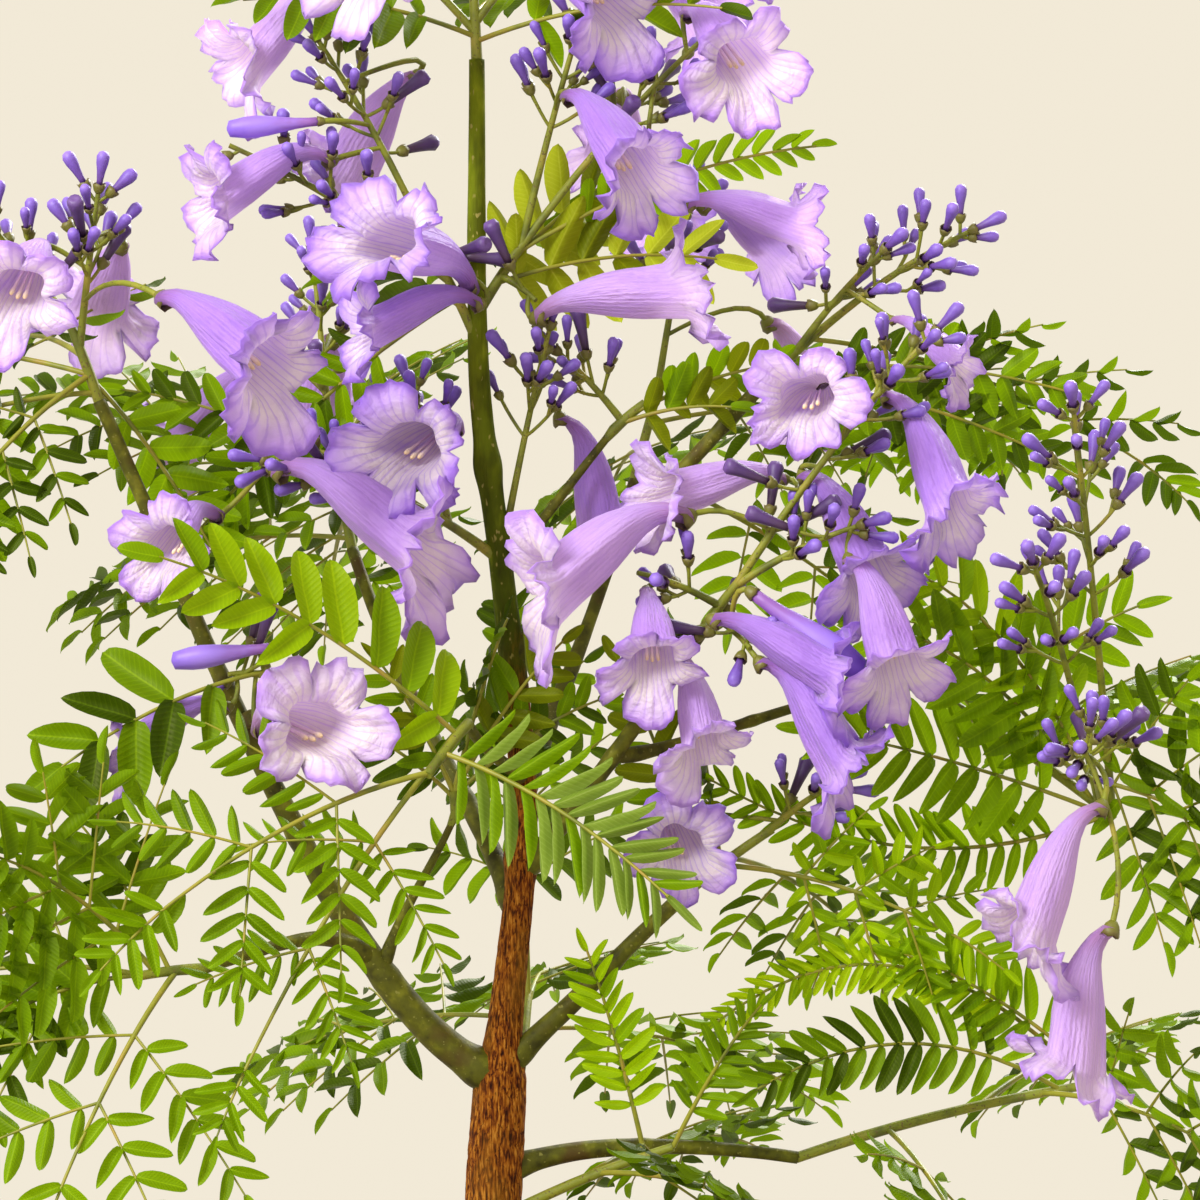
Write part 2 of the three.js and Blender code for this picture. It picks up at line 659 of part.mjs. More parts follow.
for (const row of MASSES) {
  row.parts.forEach((part, sprig) => part.kind === "spike" && growSpike(row, part, sprig));
}
for (const row of MASSES) {
  row.parts.forEach((part, sprig) => part.kind === "leaf" && growLeafStalk(row, part, sprig));
}
for (const row of MASSES) {
  row.parts.forEach((part, sprig) => part.line && growBlades(row, part, sprig));
}

// Assembly
const tree = new THREE.Group();
tree.name = "jacaranda_bonsai";

function addNode(name, body, color, roughness) {
  const material = new THREE.MeshStandardMaterial({ color, roughness, metalness: 0 });
  const mesh = new THREE.Mesh(geometryOf(body), material);
  mesh.name = name;
  tree.add(mesh);
}

addNode("pot", buildPot(), CLAY, 0.7);
addNode("soil", buildSoil(), EARTH, 0.95);
for (const [name, limb] of limbs) {
  addNode(name, limb.body, name === "trunk" ? BARK : GREEN_BARK, 0.8);
}
for (const [name, bodies] of grown) {
  addNode(`${name}_mass`, largest(wasm.Manifold.union(bodies)), FOLIAGE, 0.7);
}

export default tree;
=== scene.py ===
# %% [markdown]
# # A potted dwarf jacaranda in flower
# The real thing is a young tree kept small in a pot: a rust-brown stem that turns green towards its top, a
# few slim boughs, ferny divided leaves and loose heads of violet trumpet flowers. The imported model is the
# fixed frame. Everything below is built in metres in that frame, from sizes kept in millimetres.

# %% Frame
import json
import math
from collections import namedtuple

import bmesh
import bpy
import numpy as np
from mathutils import Matrix, Vector, noise

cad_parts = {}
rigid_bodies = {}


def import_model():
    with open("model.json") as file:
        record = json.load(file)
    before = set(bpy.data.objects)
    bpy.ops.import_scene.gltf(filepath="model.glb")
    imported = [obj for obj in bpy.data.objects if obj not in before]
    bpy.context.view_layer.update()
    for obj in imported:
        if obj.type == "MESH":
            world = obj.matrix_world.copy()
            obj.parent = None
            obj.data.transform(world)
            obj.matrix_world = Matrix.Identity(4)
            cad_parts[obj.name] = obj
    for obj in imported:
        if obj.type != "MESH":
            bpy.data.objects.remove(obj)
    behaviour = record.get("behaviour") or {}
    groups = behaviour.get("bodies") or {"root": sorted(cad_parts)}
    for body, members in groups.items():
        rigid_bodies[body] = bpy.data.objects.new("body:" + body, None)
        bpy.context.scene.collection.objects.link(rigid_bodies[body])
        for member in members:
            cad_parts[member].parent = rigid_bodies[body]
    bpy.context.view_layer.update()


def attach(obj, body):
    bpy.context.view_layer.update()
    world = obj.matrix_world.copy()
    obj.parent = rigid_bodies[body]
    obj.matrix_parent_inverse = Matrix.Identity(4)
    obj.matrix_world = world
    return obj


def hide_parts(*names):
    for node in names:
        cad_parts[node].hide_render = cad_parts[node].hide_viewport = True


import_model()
MM = 0.001

# %% [markdown]
# ## Camera, floor and light
# The photograph looks level into the crown from close by, so the camera stands in front of it with a long
# lens and leaves the pot below the picture. The floor is a round pale board that ends before it can enter
# that view. Large soft lamps and a cream sky give the bright shade of the photograph, with one lamp behind
# so that leaves glow.

# %% Camera
VIEW_CENTRE = Vector((22 * MM, 0, 265.5 * MM))
VIEW_WIDTH = 264 * MM
VIEW_DISTANCE = 0.86
VIEW_PITCH = math.radians(1.5)
SENSOR = 36
scene = bpy.context.scene
camera = bpy.data.objects.new("camera", bpy.data.cameras.new("camera"))
scene.collection.objects.link(camera)
camera_back = Vector((0, -math.cos(VIEW_PITCH), math.sin(VIEW_PITCH)))
camera.location = VIEW_CENTRE + camera_back * VIEW_DISTANCE
camera.rotation_euler = (-camera_back).to_track_quat("-Z", "Y").to_euler()
camera.data.sensor_width = SENSOR
camera.data.lens = SENSOR * VIEW_DISTANCE / VIEW_WIDTH
scene.camera = camera
print("lens", round(camera.data.lens, 1), "mm")

# %% Lamps and sky
CROWN_MIDDLE = Vector((0, 0, 0.28))
DAYLIGHT = (0.98, 0.99, 1.0)
SKY_CREAM, SKY_STRENGTH = (0.935, 0.862, 0.715, 1), 0.95


def soft_lamp(name, place, width, watts):
    data = bpy.data.lights.new(name, "AREA")
    data.shape = "DISK"
    data.size = width
    data.energy = watts
    data.color = DAYLIGHT
    lamp = bpy.data.objects.new(name, data)
    lamp.location = place
    lamp.rotation_euler = (CROWN_MIDDLE - Vector(place)).to_track_quat("-Z", "Y").to_euler()
    scene.collection.objects.link(lamp)


soft_lamp("window_lamp", (-0.9, -1.1, 1.2), 0.8, 37)
soft_lamp("back_lamp", (0.5, 1.0, 1.1), 0.7, 36)
scene.view_settings.view_transform = "Standard"
world = bpy.data.worlds.new("cream_sky")
scene.world = world
world.use_nodes = True
sky = world.node_tree.nodes["Background"]
sky.inputs["Color"].default_value = SKY_CREAM
sky.inputs["Strength"].default_value = SKY_STRENGTH

# %% [markdown]
# ## Small tools for materials
# Every finish is made from nodes. A few helpers keep the cells that follow short: one adds a node with its
# settings and inputs, a finish is a material with its usual patterns, and a piece is fastened in the same
# way each time.


# %% Material tools
def srgb(r, g, b):
    """Linear colour, with alpha, from the red, green and blue of a paint chart (0 to 255)."""
    def channel(c):
        c /= 255
        return c / 12.92 if c <= 0.04045 else ((c + 0.055) / 1.055) ** 2.4
    return (channel(r), channel(g), channel(b), 1.0)


class NodeTree:
    """A tree to add nodes to. An input takes a value or the output of another node."""

    def __init__(self, tree):
        self.tree = tree

    def feed(self, socket, value):
        if isinstance(value, bpy.types.NodeSocket):
            self.tree.links.new(value, socket)
        else:
            socket.default_value = value

    def node(self, kind, inputs=(), **settings):
        made = self.tree.nodes.new(kind)
        for key, value in settings.items():
            setattr(made, key, value)
        for key, value in dict(inputs).items():
            self.feed(made.inputs[key], value)
        return made


# %% Finish
class Finish(NodeTree):
    """A material with its node tree and its main shader at hand."""

    def __init__(self, name, roughness):
        self.material = bpy.data.materials.new(name)
        self.material.use_nodes = True
        super().__init__(self.material.node_tree)
        self.shader = self.tree.nodes["Principled BSDF"]
        self.set("Roughness", roughness)

    def set(self, name, value):
        self.feed(self.shader.inputs[name], value)

    def math(self, operation, *values):
        return self.node("ShaderNodeMath", enumerate(values), operation=operation).outputs[0]

    def ramp(self, factor, stops, ease="EASE"):
        made = self.node("ShaderNodeValToRGB", {0: factor})
        made.color_ramp.interpolation = ease
        while len(made.color_ramp.elements) < len(stops):
            made.color_ramp.elements.new(0.5)
        for element, (place, color) in zip(made.color_ramp.elements, stops):
            element.position = place
            element.color = color
        return made.outputs[0]

    def tones(self, factor, *stops, ease="EASE"):
        """A ramp whose stops are a place and a colour of the paint chart."""
        return self.ramp(factor, [(place, srgb(*color)) for place, *color in stops], ease)

    def mask(self, factor, low, high, top=1, foot=0):
        """A grey ramp between two values of the factor."""
        return self.ramp(factor, [(low, (foot, foot, foot, 1)), (high, (top, top, top, 1))])

    def mix(self, factor, a, b):
        return self.node("ShaderNodeMix", {0: factor, 6: a, 7: b}, data_type="RGBA").outputs[2]

    def noise(self, scale, detail=3, stretch=(1, 1, 1)):
        place = self.node("ShaderNodeTexCoord").outputs["Object"]
        spot = self.node("ShaderNodeMapping", {"Vector": place, "Scale": stretch}).outputs[0]
        return self.node("ShaderNodeTexNoise", {"Vector": spot, "Scale": scale, "Detail": detail}).outputs[0]

    def bump(self, height, strength, distance):
        made = self.node("ShaderNodeBump", {"Height": height, "Strength": strength, "Distance": distance})
        self.set("Normal", made.outputs[0])

    def paint(self, color):
        self.set("Base Color", color)


# %% Pieces
def add_object(name, data):
    made = bpy.data.objects.new(name, data)
    scene.collection.objects.link(made)
    return made


def new_mesh(name, points, faces):
    mesh = bpy.data.meshes.new(name)
    mesh.from_pydata(points, [], faces)
    mesh.shade_smooth()
    return mesh


def settle(piece, slot, *nodes):
    """Fastens a finished piece to the tree's one body and hides the solids that it stands for."""
    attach(piece, "root")
    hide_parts(*nodes)
    print(piece.name, sum(len(p.vertices) - 2 for p in piece.data.polygons), "triangles")


def dress(mesh, finish, slot, *nodes):
    """Makes a mesh with a finish into a settled piece of the same name."""
    mesh.materials.append(finish.material)
    piece = add_object(mesh.name, mesh)
    settle(piece, slot, *nodes)
    return piece


# %% Floor
FLOOR_RADIUS, FLOOR_SIDES = 0.6, 96
FLOOR_DROP = 0.3 * MM
floor_finish = Finish("pale_floor", 0.7)
grain = floor_finish.noise(40, 4)
floor_finish.paint(floor_finish.tones(grain, (0.3, 164, 156, 144), (0.7, 169, 161, 149)))
rim_angles = [2 * math.pi * i / FLOOR_SIDES for i in range(FLOOR_SIDES)]
floor_points = [(FLOOR_RADIUS * math.cos(a), FLOOR_RADIUS * math.sin(a), -FLOOR_DROP) for a in rim_angles]
floor_mesh = new_mesh("pale_floor", floor_points, [range(FLOOR_SIDES)])
floor_mesh.materials.append(floor_finish.material)
add_object("pale_floor", floor_mesh)

# %% [markdown]
# ## The pot
# A plain unglazed stoneware tray on a set-back plinth, with a thick rolled rim. It could be a cube with
# bevels, but rounded rectangles stacked as rings follow the source's sizes exactly, and the corners stay
# smooth from any side. Two drain holes are cut into its underside with a Boolean.

# %% Pot sizes and outline
POT_HEIGHT = 62
PLINTH = (140, 96, 20)
POT_FOOT = (150, 106, 24)
POT_FLARE = 1.14
RIM = (184, 134, 30)
RIM_HEIGHT = 9
PLINTH_HEIGHT = 7
POT_WALL = 7
POT_FLOOR = 9
DRAIN_RADIUS = 6
DRAIN_SPACING = 64
SOIL_EDGE = 52
SOIL_TOP = 56
CORNER_STEPS = 14


def outline(length, width, corner, z):
    """Rounded rectangle at a height, the same number of points at any size."""
    ring = []
    for turn, (sx, sy) in enumerate(((1, 1), (-1, 1), (-1, -1), (1, -1))):
        for i in range(CORNER_STEPS):
            a = math.pi / 2 * (turn + i / (CORNER_STEPS - 1))
            x = sx * (length / 2 - corner) + corner * math.cos(a)
            y = sy * (width / 2 - corner) + corner * math.sin(a)
            ring.append((x, y, z))
    return ring


def grow(size, extra):
    return (size[0] + 2 * extra, size[1] + 2 * extra, max(2, size[2] + extra))


def body_size(z):
    """The pot's outer size at a height: straight sides that widen towards the rim."""
    climb = (z - PLINTH_HEIGHT) / (POT_HEIGHT - 1 - PLINTH_HEIGHT)
    scale = 1 + (POT_FLARE - 1) * climb
    return tuple(v * scale for v in POT_FOOT)


# %% Pot mesh
def band(low, high, around):
    """Quads between two rings of points, each ring told by the number of its first point."""
    return [(low + i, low + (i + 1) % around, high + (i + 1) % around, high + i) for i in range(around)]


def bands(rings, around, first=0):
    """Quads between rings of points that are stacked in order."""
    starts = range(first, first + (rings - 1) * around, around)
    return [quad for start in starts for quad in band(start, start + around, around)]


rim_low = POT_HEIGHT - RIM_HEIGHT
levels = [(grow(PLINTH, inset), z) for inset, z in ((-3, 0), (-0.8, 0), (0, 0.8), (0, PLINTH_HEIGHT))]
levels += [(grow(body_size(z), inset), z) for inset, z in ((-1.2, 7), (-0.4, 7.3), (0, 8.4))]
levels += [(body_size(z), z) for z in np.linspace(12, rim_low - 0.6, 9)]
levels += [(grow(RIM, inset), z) for inset, z in (
    (-4.5, rim_low - 0.1), (-2, rim_low), (-0.6, rim_low + 0.6), (0, rim_low + 2),
    (0, POT_HEIGHT - 2.2), (-0.7, POT_HEIGHT - 0.7), (-2.2, POT_HEIGHT), (-5, POT_HEIGHT),
)]
levels += [(grow(body_size(z), inset - POT_WALL), z) for inset, z in (
    (1.6, POT_HEIGHT), (0.4, POT_HEIGHT - 0.6), (0, POT_HEIGHT - 2), (0, 50), (0, 40),
)]
around = 4 * CORNER_STEPS
pot_points = [(x * MM, y * MM, z * MM) for size, level in levels for x, y, z in outline(*size, level)]
pot_end = len(pot_points)
pot_faces = [*bands(len(levels), around), range(around - 1, -1, -1), range(pot_end - around, pot_end)]
blank_mesh = new_mesh("pot_blank", pot_points, pot_faces)

# %% Drain holes
DRAIN_SIDES = 32
SHARP_EDGE = math.radians(60)
drill_mesh = bpy.data.meshes.new("drills")
drills = bmesh.new()
for side in (-1, 1):
    bmesh.ops.create_cone(
        drills, cap_ends=True, segments=DRAIN_SIDES, radius1=DRAIN_RADIUS * MM, radius2=DRAIN_RADIUS * MM,
        depth=2 * POT_FLOOR * MM, matrix=Matrix.Translation((side * DRAIN_SPACING / 2 * MM, 0, 0)),
    )
drills.to_mesh(drill_mesh)
drills.free()
blank, drill = add_object("pot_blank", blank_mesh), add_object("drills", drill_mesh)
cut = blank.modifiers.new("drain holes", "BOOLEAN")
cut.object = drill
cut.operation = "DIFFERENCE"
pot_mesh = bpy.data.meshes.new_from_object(blank.evaluated_get(bpy.context.evaluated_depsgraph_get()))
pot_mesh.name = "stoneware_pot"
pot_mesh.set_sharp_from_angle(angle=SHARP_EDGE)
for tool in (blank, drill):
    bpy.data.objects.remove(tool)
print("pot mesh", len(pot_mesh.polygons), "faces")

# %% [markdown]
# Unglazed stoneware is matt, a little uneven in colour from the kiln, and freckled with dark iron specks.
# Three noises at three scales do that: broad toning, grain, and a thresholded one for the freckles.

# %% Stoneware finish
stoneware = Finish("stoneware", 0.72)
clay = stoneware.tones(stoneware.noise(22, 2), (0.3, 101, 78, 65), (0.7, 128, 100, 82))
freckle = stoneware.mask(stoneware.noise(900, 2), 0.62, 0.7)
stoneware.paint(stoneware.mix(freckle, clay, srgb(62, 46, 38)))
stoneware.bump(stoneware.noise(650, 4), 0.35, 0.4 * MM)
dress(pot_mesh, stoneware, "clay", "pot")

# %% [markdown]
# ## Soil and grit
# Bonsai soil is a mound of dark crumbs with pale grit among them. The mound is made of shrinking rings,
# pushed up by noise. The crumbs repeat by the hundred, so Geometry Nodes scatter one crumb over the mound
# with seeded turns and sizes.

# %% Soil mound
SOIL_GAP = 0.4
SOIL_BOTTOM = 40
MOUND_RINGS = 24
MOUND_FLAT, MOUND_SLOPE = 22, 34
TRUNK_FOOT_X = -4
FOOT_FLAT, FOOT_FADE = 15, 10


def clamp(value):
    return min(1, max(0, value))


def soil_height(x, y):
    """A lumpy mound that is smooth only where the trunk stands."""
    rise = 1 - clamp((math.hypot(x, y) - MOUND_FLAT) / MOUND_SLOPE)
    lump = noise.noise((x * 0.11, y * 0.11, 3.0)) + 0.5 * noise.noise((x * 0.4, y * 0.4, 7.0))
    hold = clamp((math.hypot(x - TRUNK_FOOT_X, y) - FOOT_FLAT) / FOOT_FADE)
    return SOIL_EDGE - 0.6 + (SOIL_TOP - SOIL_EDGE + 0.7) * rise ** 1.3 + 0.7 * lump * hold


soil_rim = [(x, y) for x, y, _ in outline(*grow(body_size(SOIL_EDGE), -POT_WALL - SOIL_GAP), 0)]
shares = [1 - k / MOUND_RINGS for k in range(MOUND_RINGS)]
mound = [(x * share, y * share) for share in shares for x, y in soil_rim]
soil_points = [(x * MM, y * MM, soil_height(x, y) * MM) for x, y in mound]
soil_points += [(x * MM, y * MM, SOIL_BOTTOM * MM) for x, y in soil_rim]
under = len(mound)
soil_faces = [
    *bands(MOUND_RINGS, around), range(under - around, under),
    *band(under, 0, around), range(under + around - 1, under - 1, -1),
]
soil_mesh = new_mesh("soil_mound", soil_points, soil_faces)

# %% Soil finish
earth = Finish("moist_soil", 0.95)
earth.paint(earth.tones(earth.noise(420, 5), (0.32, 38, 27, 20), (0.5, 66, 48, 35), (0.7, 92, 70, 52)))
earth.bump(earth.noise(700, 5), 0.9, 1.2 * MM)
soil = dress(soil_mesh, earth, "earth", "soil")


# %% Node tree tools
class Tree(NodeTree):
    """A Geometry Nodes tree with named inputs, whole numbers or not, that is run on a carrier object."""

    def __init__(self, name, **values):
        super().__init__(bpy.data.node_groups.new(name, "GeometryNodeTree"))
        self.values, self.sockets = values, {}
        interface = self.tree.interface
        interface.new_socket("Geometry", in_out="INPUT", socket_type="NodeSocketGeometry")
        for key, value in values.items():
            kind = "NodeSocketInt" if isinstance(value, int) else "NodeSocketFloat"
            self.sockets[key] = interface.new_socket(key, in_out="INPUT", socket_type=kind)
            self.sockets[key].default_value = value
        interface.new_socket("Geometry", in_out="OUTPUT", socket_type="NodeSocketGeometry")
        self.start = self.node("NodeGroupInput").outputs

    def named(self, name, kind="FLOAT_VECTOR"):
        made = self.node("GeometryNodeInputNamedAttribute", data_type=kind)
        made.inputs["Name"].default_value = name
        return made.outputs["Attribute"]

    def shape(self, item):
        return self.node("GeometryNodeObjectInfo", {"Object": item}).outputs["Geometry"]

    def bake(self, carrier, geometry, finish):
        """Ends the tree, runs it and returns the result as a plain object of the tree's name."""
        real = self.node("GeometryNodeRealizeInstances", {"Geometry": geometry})
        smooth = self.node("GeometryNodeSetShadeSmooth", {"Geometry": real.outputs[0]})
        paint = self.node("GeometryNodeSetMaterial", {
            "Geometry": smooth.outputs[0], "Material": finish.material,
        })
        self.node("NodeGroupOutput", {0: paint.outputs[0]})
        modifier = carrier.modifiers.new(self.tree.name, "NODES")
        modifier.node_group = self.tree
        for key, value in self.values.items():
            modifier[self.sockets[key].identifier] = value
        graph = bpy.context.evaluated_depsgraph_get()
        mesh = bpy.data.meshes.new_from_object(carrier.evaluated_get(graph), depsgraph=graph)
        mesh.name = self.tree.name
        carrier.modifiers.remove(modifier)
        return add_object(self.tree.name, mesh)


# %% Grit
STONE_RINGS, STONE_SIDES = 5, 6
GRIT_SIZES = (0.5, 1.3)
GRIT_LOW = SOIL_EDGE - 4
FULL_TURN = 6.3


def pebble(name, seed):
    """A small angular stone about one unit across."""
    points = []
    for k in range(STONE_RINGS):
        a = math.pi * k / (STONE_RINGS - 1)
        for i in range(STONE_SIDES):
            b = 2 * math.pi * (i + 0.5 * (k % 2)) / STONE_SIDES
            p = Vector((math.sin(a) * math.cos(b), math.sin(a) * math.sin(b), 0.8 * math.cos(a)))
            points.append(p * (0.42 + 0.16 * noise.noise(p * 1.7 + Vector((seed, 0, 0)))))
    faces = [(a, d, c, b) for a, b, c, d in bands(STONE_RINGS, STONE_SIDES)]
    return add_object(name, new_mesh(name, points, faces))


def scatter_grit(name, finish, seed, density, size):
    stone = pebble(name + "_stone", seed)
    tree = Tree(name, Density=density, Seed=seed, Size=size)
    place = tree.node("ShaderNodeSeparateXYZ", {0: tree.node("GeometryNodeInputPosition").outputs[0]})
    high = tree.node("FunctionNodeCompare", {"A": place.outputs["Z"], "B": GRIT_LOW * MM},
                     data_type="FLOAT", operation="GREATER_THAN")
    spread = tree.node("GeometryNodeDistributePointsOnFaces", {
        "Mesh": tree.start["Geometry"], "Selection": high.outputs[0],
        "Density": tree.start["Density"], "Seed": tree.start["Seed"],
    })
    turn = tree.node("FunctionNodeRandomValue", {"Max": (FULL_TURN,) * 3}, data_type="FLOAT_VECTOR")
    share = tree.node("FunctionNodeRandomValue", enumerate(GRIT_SIZES, 2), data_type="FLOAT")
    scale = tree.node("ShaderNodeMath", {0: share.outputs[1], 1: tree.start["Size"]}, operation="MULTIPLY")
    put = tree.node("GeometryNodeInstanceOnPoints", {
        "Points": spread.outputs["Points"], "Instance": tree.shape(stone),
        "Rotation": turn.outputs[0], "Scale": scale.outputs[0],
    })
    settle(tree.bake(soil, put.outputs[0], finish), "earth")
    bpy.data.objects.remove(stone)


dark_crumb, pale_grit = Finish("dark_crumb", 0.95), Finish("pale_grit", 0.9)
for finish, dark, pale in (
    (dark_crumb, (48, 34, 25), (94, 70, 50)), (pale_grit, (140, 122, 98), (190, 172, 146)),
):
    finish.paint(finish.tones(finish.noise(300, 3), (0.35, *dark), (0.65, *pale)))
scatter_grit("soil_crumbs", dark_crumb, 4, 90000.0, 3.0 * MM)
scatter_grit("soil_grit", pale_grit, 9, 9000.0, 2.6 * MM)

# %% [markdown]
# ## Lines of growth
# Trunk, boughs, leaf stalks and flower stalks are all lines with a thickness. These helpers make a line
# from a few points, read a point or a direction at any share of its length, and carry a frame along it
# without twisting.

# %% Line tools
CURVE_STEPS = 40
SPAN_STEPS = 24


def unit(v):
    v = np.asarray(v, float)
    return v / max(1e-9, np.linalg.norm(v))


class Line:
    """A line through space that is read by the share of its length."""

    def __init__(self, points):
        self.points = np.array(points, float)
        steps = np.linalg.norm(np.diff(self.points, axis=0), axis=1)
        self.reach = np.concatenate([[0.0], np.cumsum(steps)])
        self.length = self.reach[-1]

    def at(self, share):
        run = share * self.length
        return np.array([np.interp(run, self.reach, self.points[:, i]) for i in range(3)])

    def way(self, share):
        return unit(self.at(min(1, share + 0.01)) - self.at(max(0, share - 0.01)))


def curve(*points):
    """A Bezier line from its control points."""
    points = np.array(points, float)
    order = len(points) - 1
    t = np.linspace(0, 1, CURVE_STEPS)[:, None]
    total = 0
    for i, p in enumerate(points):
        total = total + math.comb(order, i) * t ** i * (1 - t) ** (order - i) * p
    return Line(total)


def through(points):
    """A smooth line through its points, with knots spaced by the root of their distance."""
    points = [np.array(p, float) for p in points]
    points = [2 * points[0] - points[1], *points, 2 * points[-1] - points[-2]]
    found = []
    for p0, p1, p2, p3 in zip(points, points[1:], points[2:], points[3:]):
        d0, d1, d2 = (math.sqrt(np.linalg.norm(b - a)) for a, b in ((p0, p1), (p1, p2), (p2, p3)))
        t1 = ((p1 - p0) / d0 - (p2 - p0) / (d0 + d1) + (p2 - p1) / d1) * d1
        t2 = ((p2 - p1) / d1 - (p3 - p1) / (d1 + d2) + (p3 - p2) / d2) * d1
        for t in np.linspace(0, 1, SPAN_STEPS, endpoint=False):
            c2 = -3 * p1 + 3 * p2 - 2 * t1 - t2
            c3 = 2 * p1 - 2 * p2 + t1 + t2
            found.append(p1 + t1 * t + c2 * t * t + c3 * t ** 3)
    return Line(found + [points[-2]])


def arch(start, tip, rise):
    start, tip = np.array(start, float), np.array(tip, float)
    middle = (start + tip) / 2
    middle[2] += rise * np.linalg.norm(tip - start)
    return curve(start, middle, tip)


def skin(name, line, radius, rings, sides):
    """Closed tube along a line, its radius given by share, angle, middle and the way out."""
    side = unit(np.cross(line.way(0), (0.3, 1, 0.1)))
    points = []
    for share in np.linspace(0, 1, rings):
        way, middle = line.way(share), line.at(share)
        side = unit(side - way * side.dot(way))
        over = np.cross(way, side)
        for i in range(sides):
            a = 2 * math.pi * i / sides
            out = math.cos(a) * side + math.sin(a) * over
            points.append((middle + out * radius(share, a, middle, out)) * MM)
    foot, tip = len(points), len(points) + 1
    points += [line.at(0) * MM, (line.at(1) + 0.4 * line.way(1)) * MM]
    faces = bands(rings, sides)
    for a, b, _, _ in band(0, 0, sides):
        faces += [(b, a, foot), (foot - sides + a, foot - sides + b, tip)]
    return new_mesh(name, points, faces)


# %% [markdown]
# ## The trunk
# The stem leans to the right as far as its first joint and then comes back. Its lower part has rust-brown
# bark split by short upright cracks. Cutting those cracks into a fine tube by noise keeps the relief in the
# mesh itself.

# %% Trunk sizes
FORK_HEIGHT = 160
JOINT_HEIGHTS = (209, 295)
TRUNK_TIP = 384
GROUND_RADIUS, FORK_RADIUS, LEADER_RADIUS, TIP_RADIUS = 7.8, 5.9, 3.7, 1.7
ROOT_FLARE, ROOT_FLARE_HEIGHT, ROOT_LOBES, ROOT_LOBE_DEPTH = 6, 7, 5, 0.2
FORK_BLEND = 7
JOINT_SWELL, JOINT_SPREAD = 0.7, 4
BROWN_TOP, BROWN_FADE = 236, 24
YOUNG_TOP = 312
TRUNK_RINGS, TRUNK_SIDES = 430, 56
CRACK_SCALE, CRACK_STRETCH, CRACK_EDGE, CRACK_DEPTH = 3.2, 0.16, 0.72, 1.5
FINE_SCALE, FINE_SHIFT, FINE_HEIGHT = 2.7, Vector((5, 1, 2)), 0.16
LUMP_SCALE, LUMP_STRETCH, LUMP_HEIGHT = 1.1, 0.05, 0.28
LEAST_RELIEF, FULL_RELIEF_RADIUS = 0.2, 4
TRUNK_LINE = through([
    (TRUNK_FOOT_X, 0, SOIL_TOP + 0.3), (-3.4, 0, 90), (0, 0, FORK_HEIGHT), (5, 1, 219), (0, 1, 275),
    (-4.4, 0, 312), (-5, 0, TRUNK_TIP),
])


def trunk_radius(height):
    if height < FORK_HEIGHT:
        climb = (height - SOIL_TOP) / (FORK_HEIGHT - SOIL_TOP)
        radius = GROUND_RADIUS + (FORK_RADIUS - GROUND_RADIUS) * climb
        radius += ROOT_FLARE * math.exp((SOIL_TOP - height) / ROOT_FLARE_HEIGHT)
    else:
        climb = (height - FORK_HEIGHT) / (TRUNK_TIP - FORK_HEIGHT)
        radius = LEADER_RADIUS + (TIP_RADIUS - LEADER_RADIUS) * climb
        radius += (FORK_RADIUS - LEADER_RADIUS) * math.exp((FORK_HEIGHT - height) / FORK_BLEND)
    for joint in JOINT_HEIGHTS:
        radius += JOINT_SWELL * math.exp(-(((height - joint) / JOINT_SPREAD) ** 2))
    return radius


def cracks(out, height, depth):
    """Upright cracks and soft lumps in bark, as a change of radius."""
    x, y, z = (v * CRACK_SCALE for v in out)
    spot = Vector((x, y, height * CRACK_STRETCH + z))
    ridge = 1 - abs(noise.noise(spot)) * 2
    fine = noise.noise(spot * FINE_SCALE + FINE_SHIFT)
    lump = noise.noise(Vector((out[0] * LUMP_SCALE, out[1] * LUMP_SCALE, height * LUMP_STRETCH)))
    return depth * (-CRACK_DEPTH * max(0, ridge - CRACK_EDGE) + FINE_HEIGHT * fine) + LUMP_HEIGHT * lump


def trunk_skin(share, angle, middle, out):
    height = middle[2]
    lobe = ROOT_LOBE_DEPTH * math.exp((SOIL_TOP - height) / ROOT_FLARE_HEIGHT) * math.cos(ROOT_LOBES * angle)
    depth = min(1, max(LEAST_RELIEF, 1 - (height - BROWN_TOP + BROWN_FADE / 2) / BROWN_FADE))
    radius = trunk_radius(height) * (1 + lobe)
    return radius + cracks(out, height, depth) * min(1, radius / FULL_RELIEF_RADIUS)


trunk_mesh = skin("bark_trunk", TRUNK_LINE, trunk_skin, TRUNK_RINGS, TRUNK_SIDES)

# %% [markdown]
# The bark's colours follow height: rust and dark cracks low down, then olive green skin with pale pores.
# Cracks in the colour come from noise stretched upright, so they run with the relief.

# %% Bark finish
bark = Finish("rust_bark", 0.8)
bark.set("Specular IOR Level", 0.15)
streak = bark.noise(2100, 5, (1, 1, 0.16))
rust = bark.tones(streak, (0.34, 36, 8, 0), (0.44, 98, 44, 4), (0.54, 146, 82, 12), (0.68, 190, 128, 44))
pit = bark.mask(bark.noise(1500, 2, (1, 1, 0.6)), 0.6, 0.68, 0.75)
rust = bark.mix(pit, rust, srgb(52, 14, 0))
patch = bark.mask(bark.noise(120, 3, (1, 1, 0.4)), 0.45, 0.75, 0.6)
rust = bark.mix(patch, rust, srgb(118, 78, 16))
mottle = bark.noise(240, 3, (1, 1, 0.35))
olive = bark.tones(mottle, (0.3, 46, 52, 2), (0.55, 72, 84, 4), (0.75, 110, 126, 14))
young = bark.tones(mottle, (0.3, 80, 88, 4), (0.55, 108, 120, 8), (0.75, 152, 164, 30))
pore = bark.mask(bark.noise(900, 1, (1, 1, 0.5)), 0.66, 0.74)
place = bark.node("ShaderNodeTexCoord").outputs["Object"]
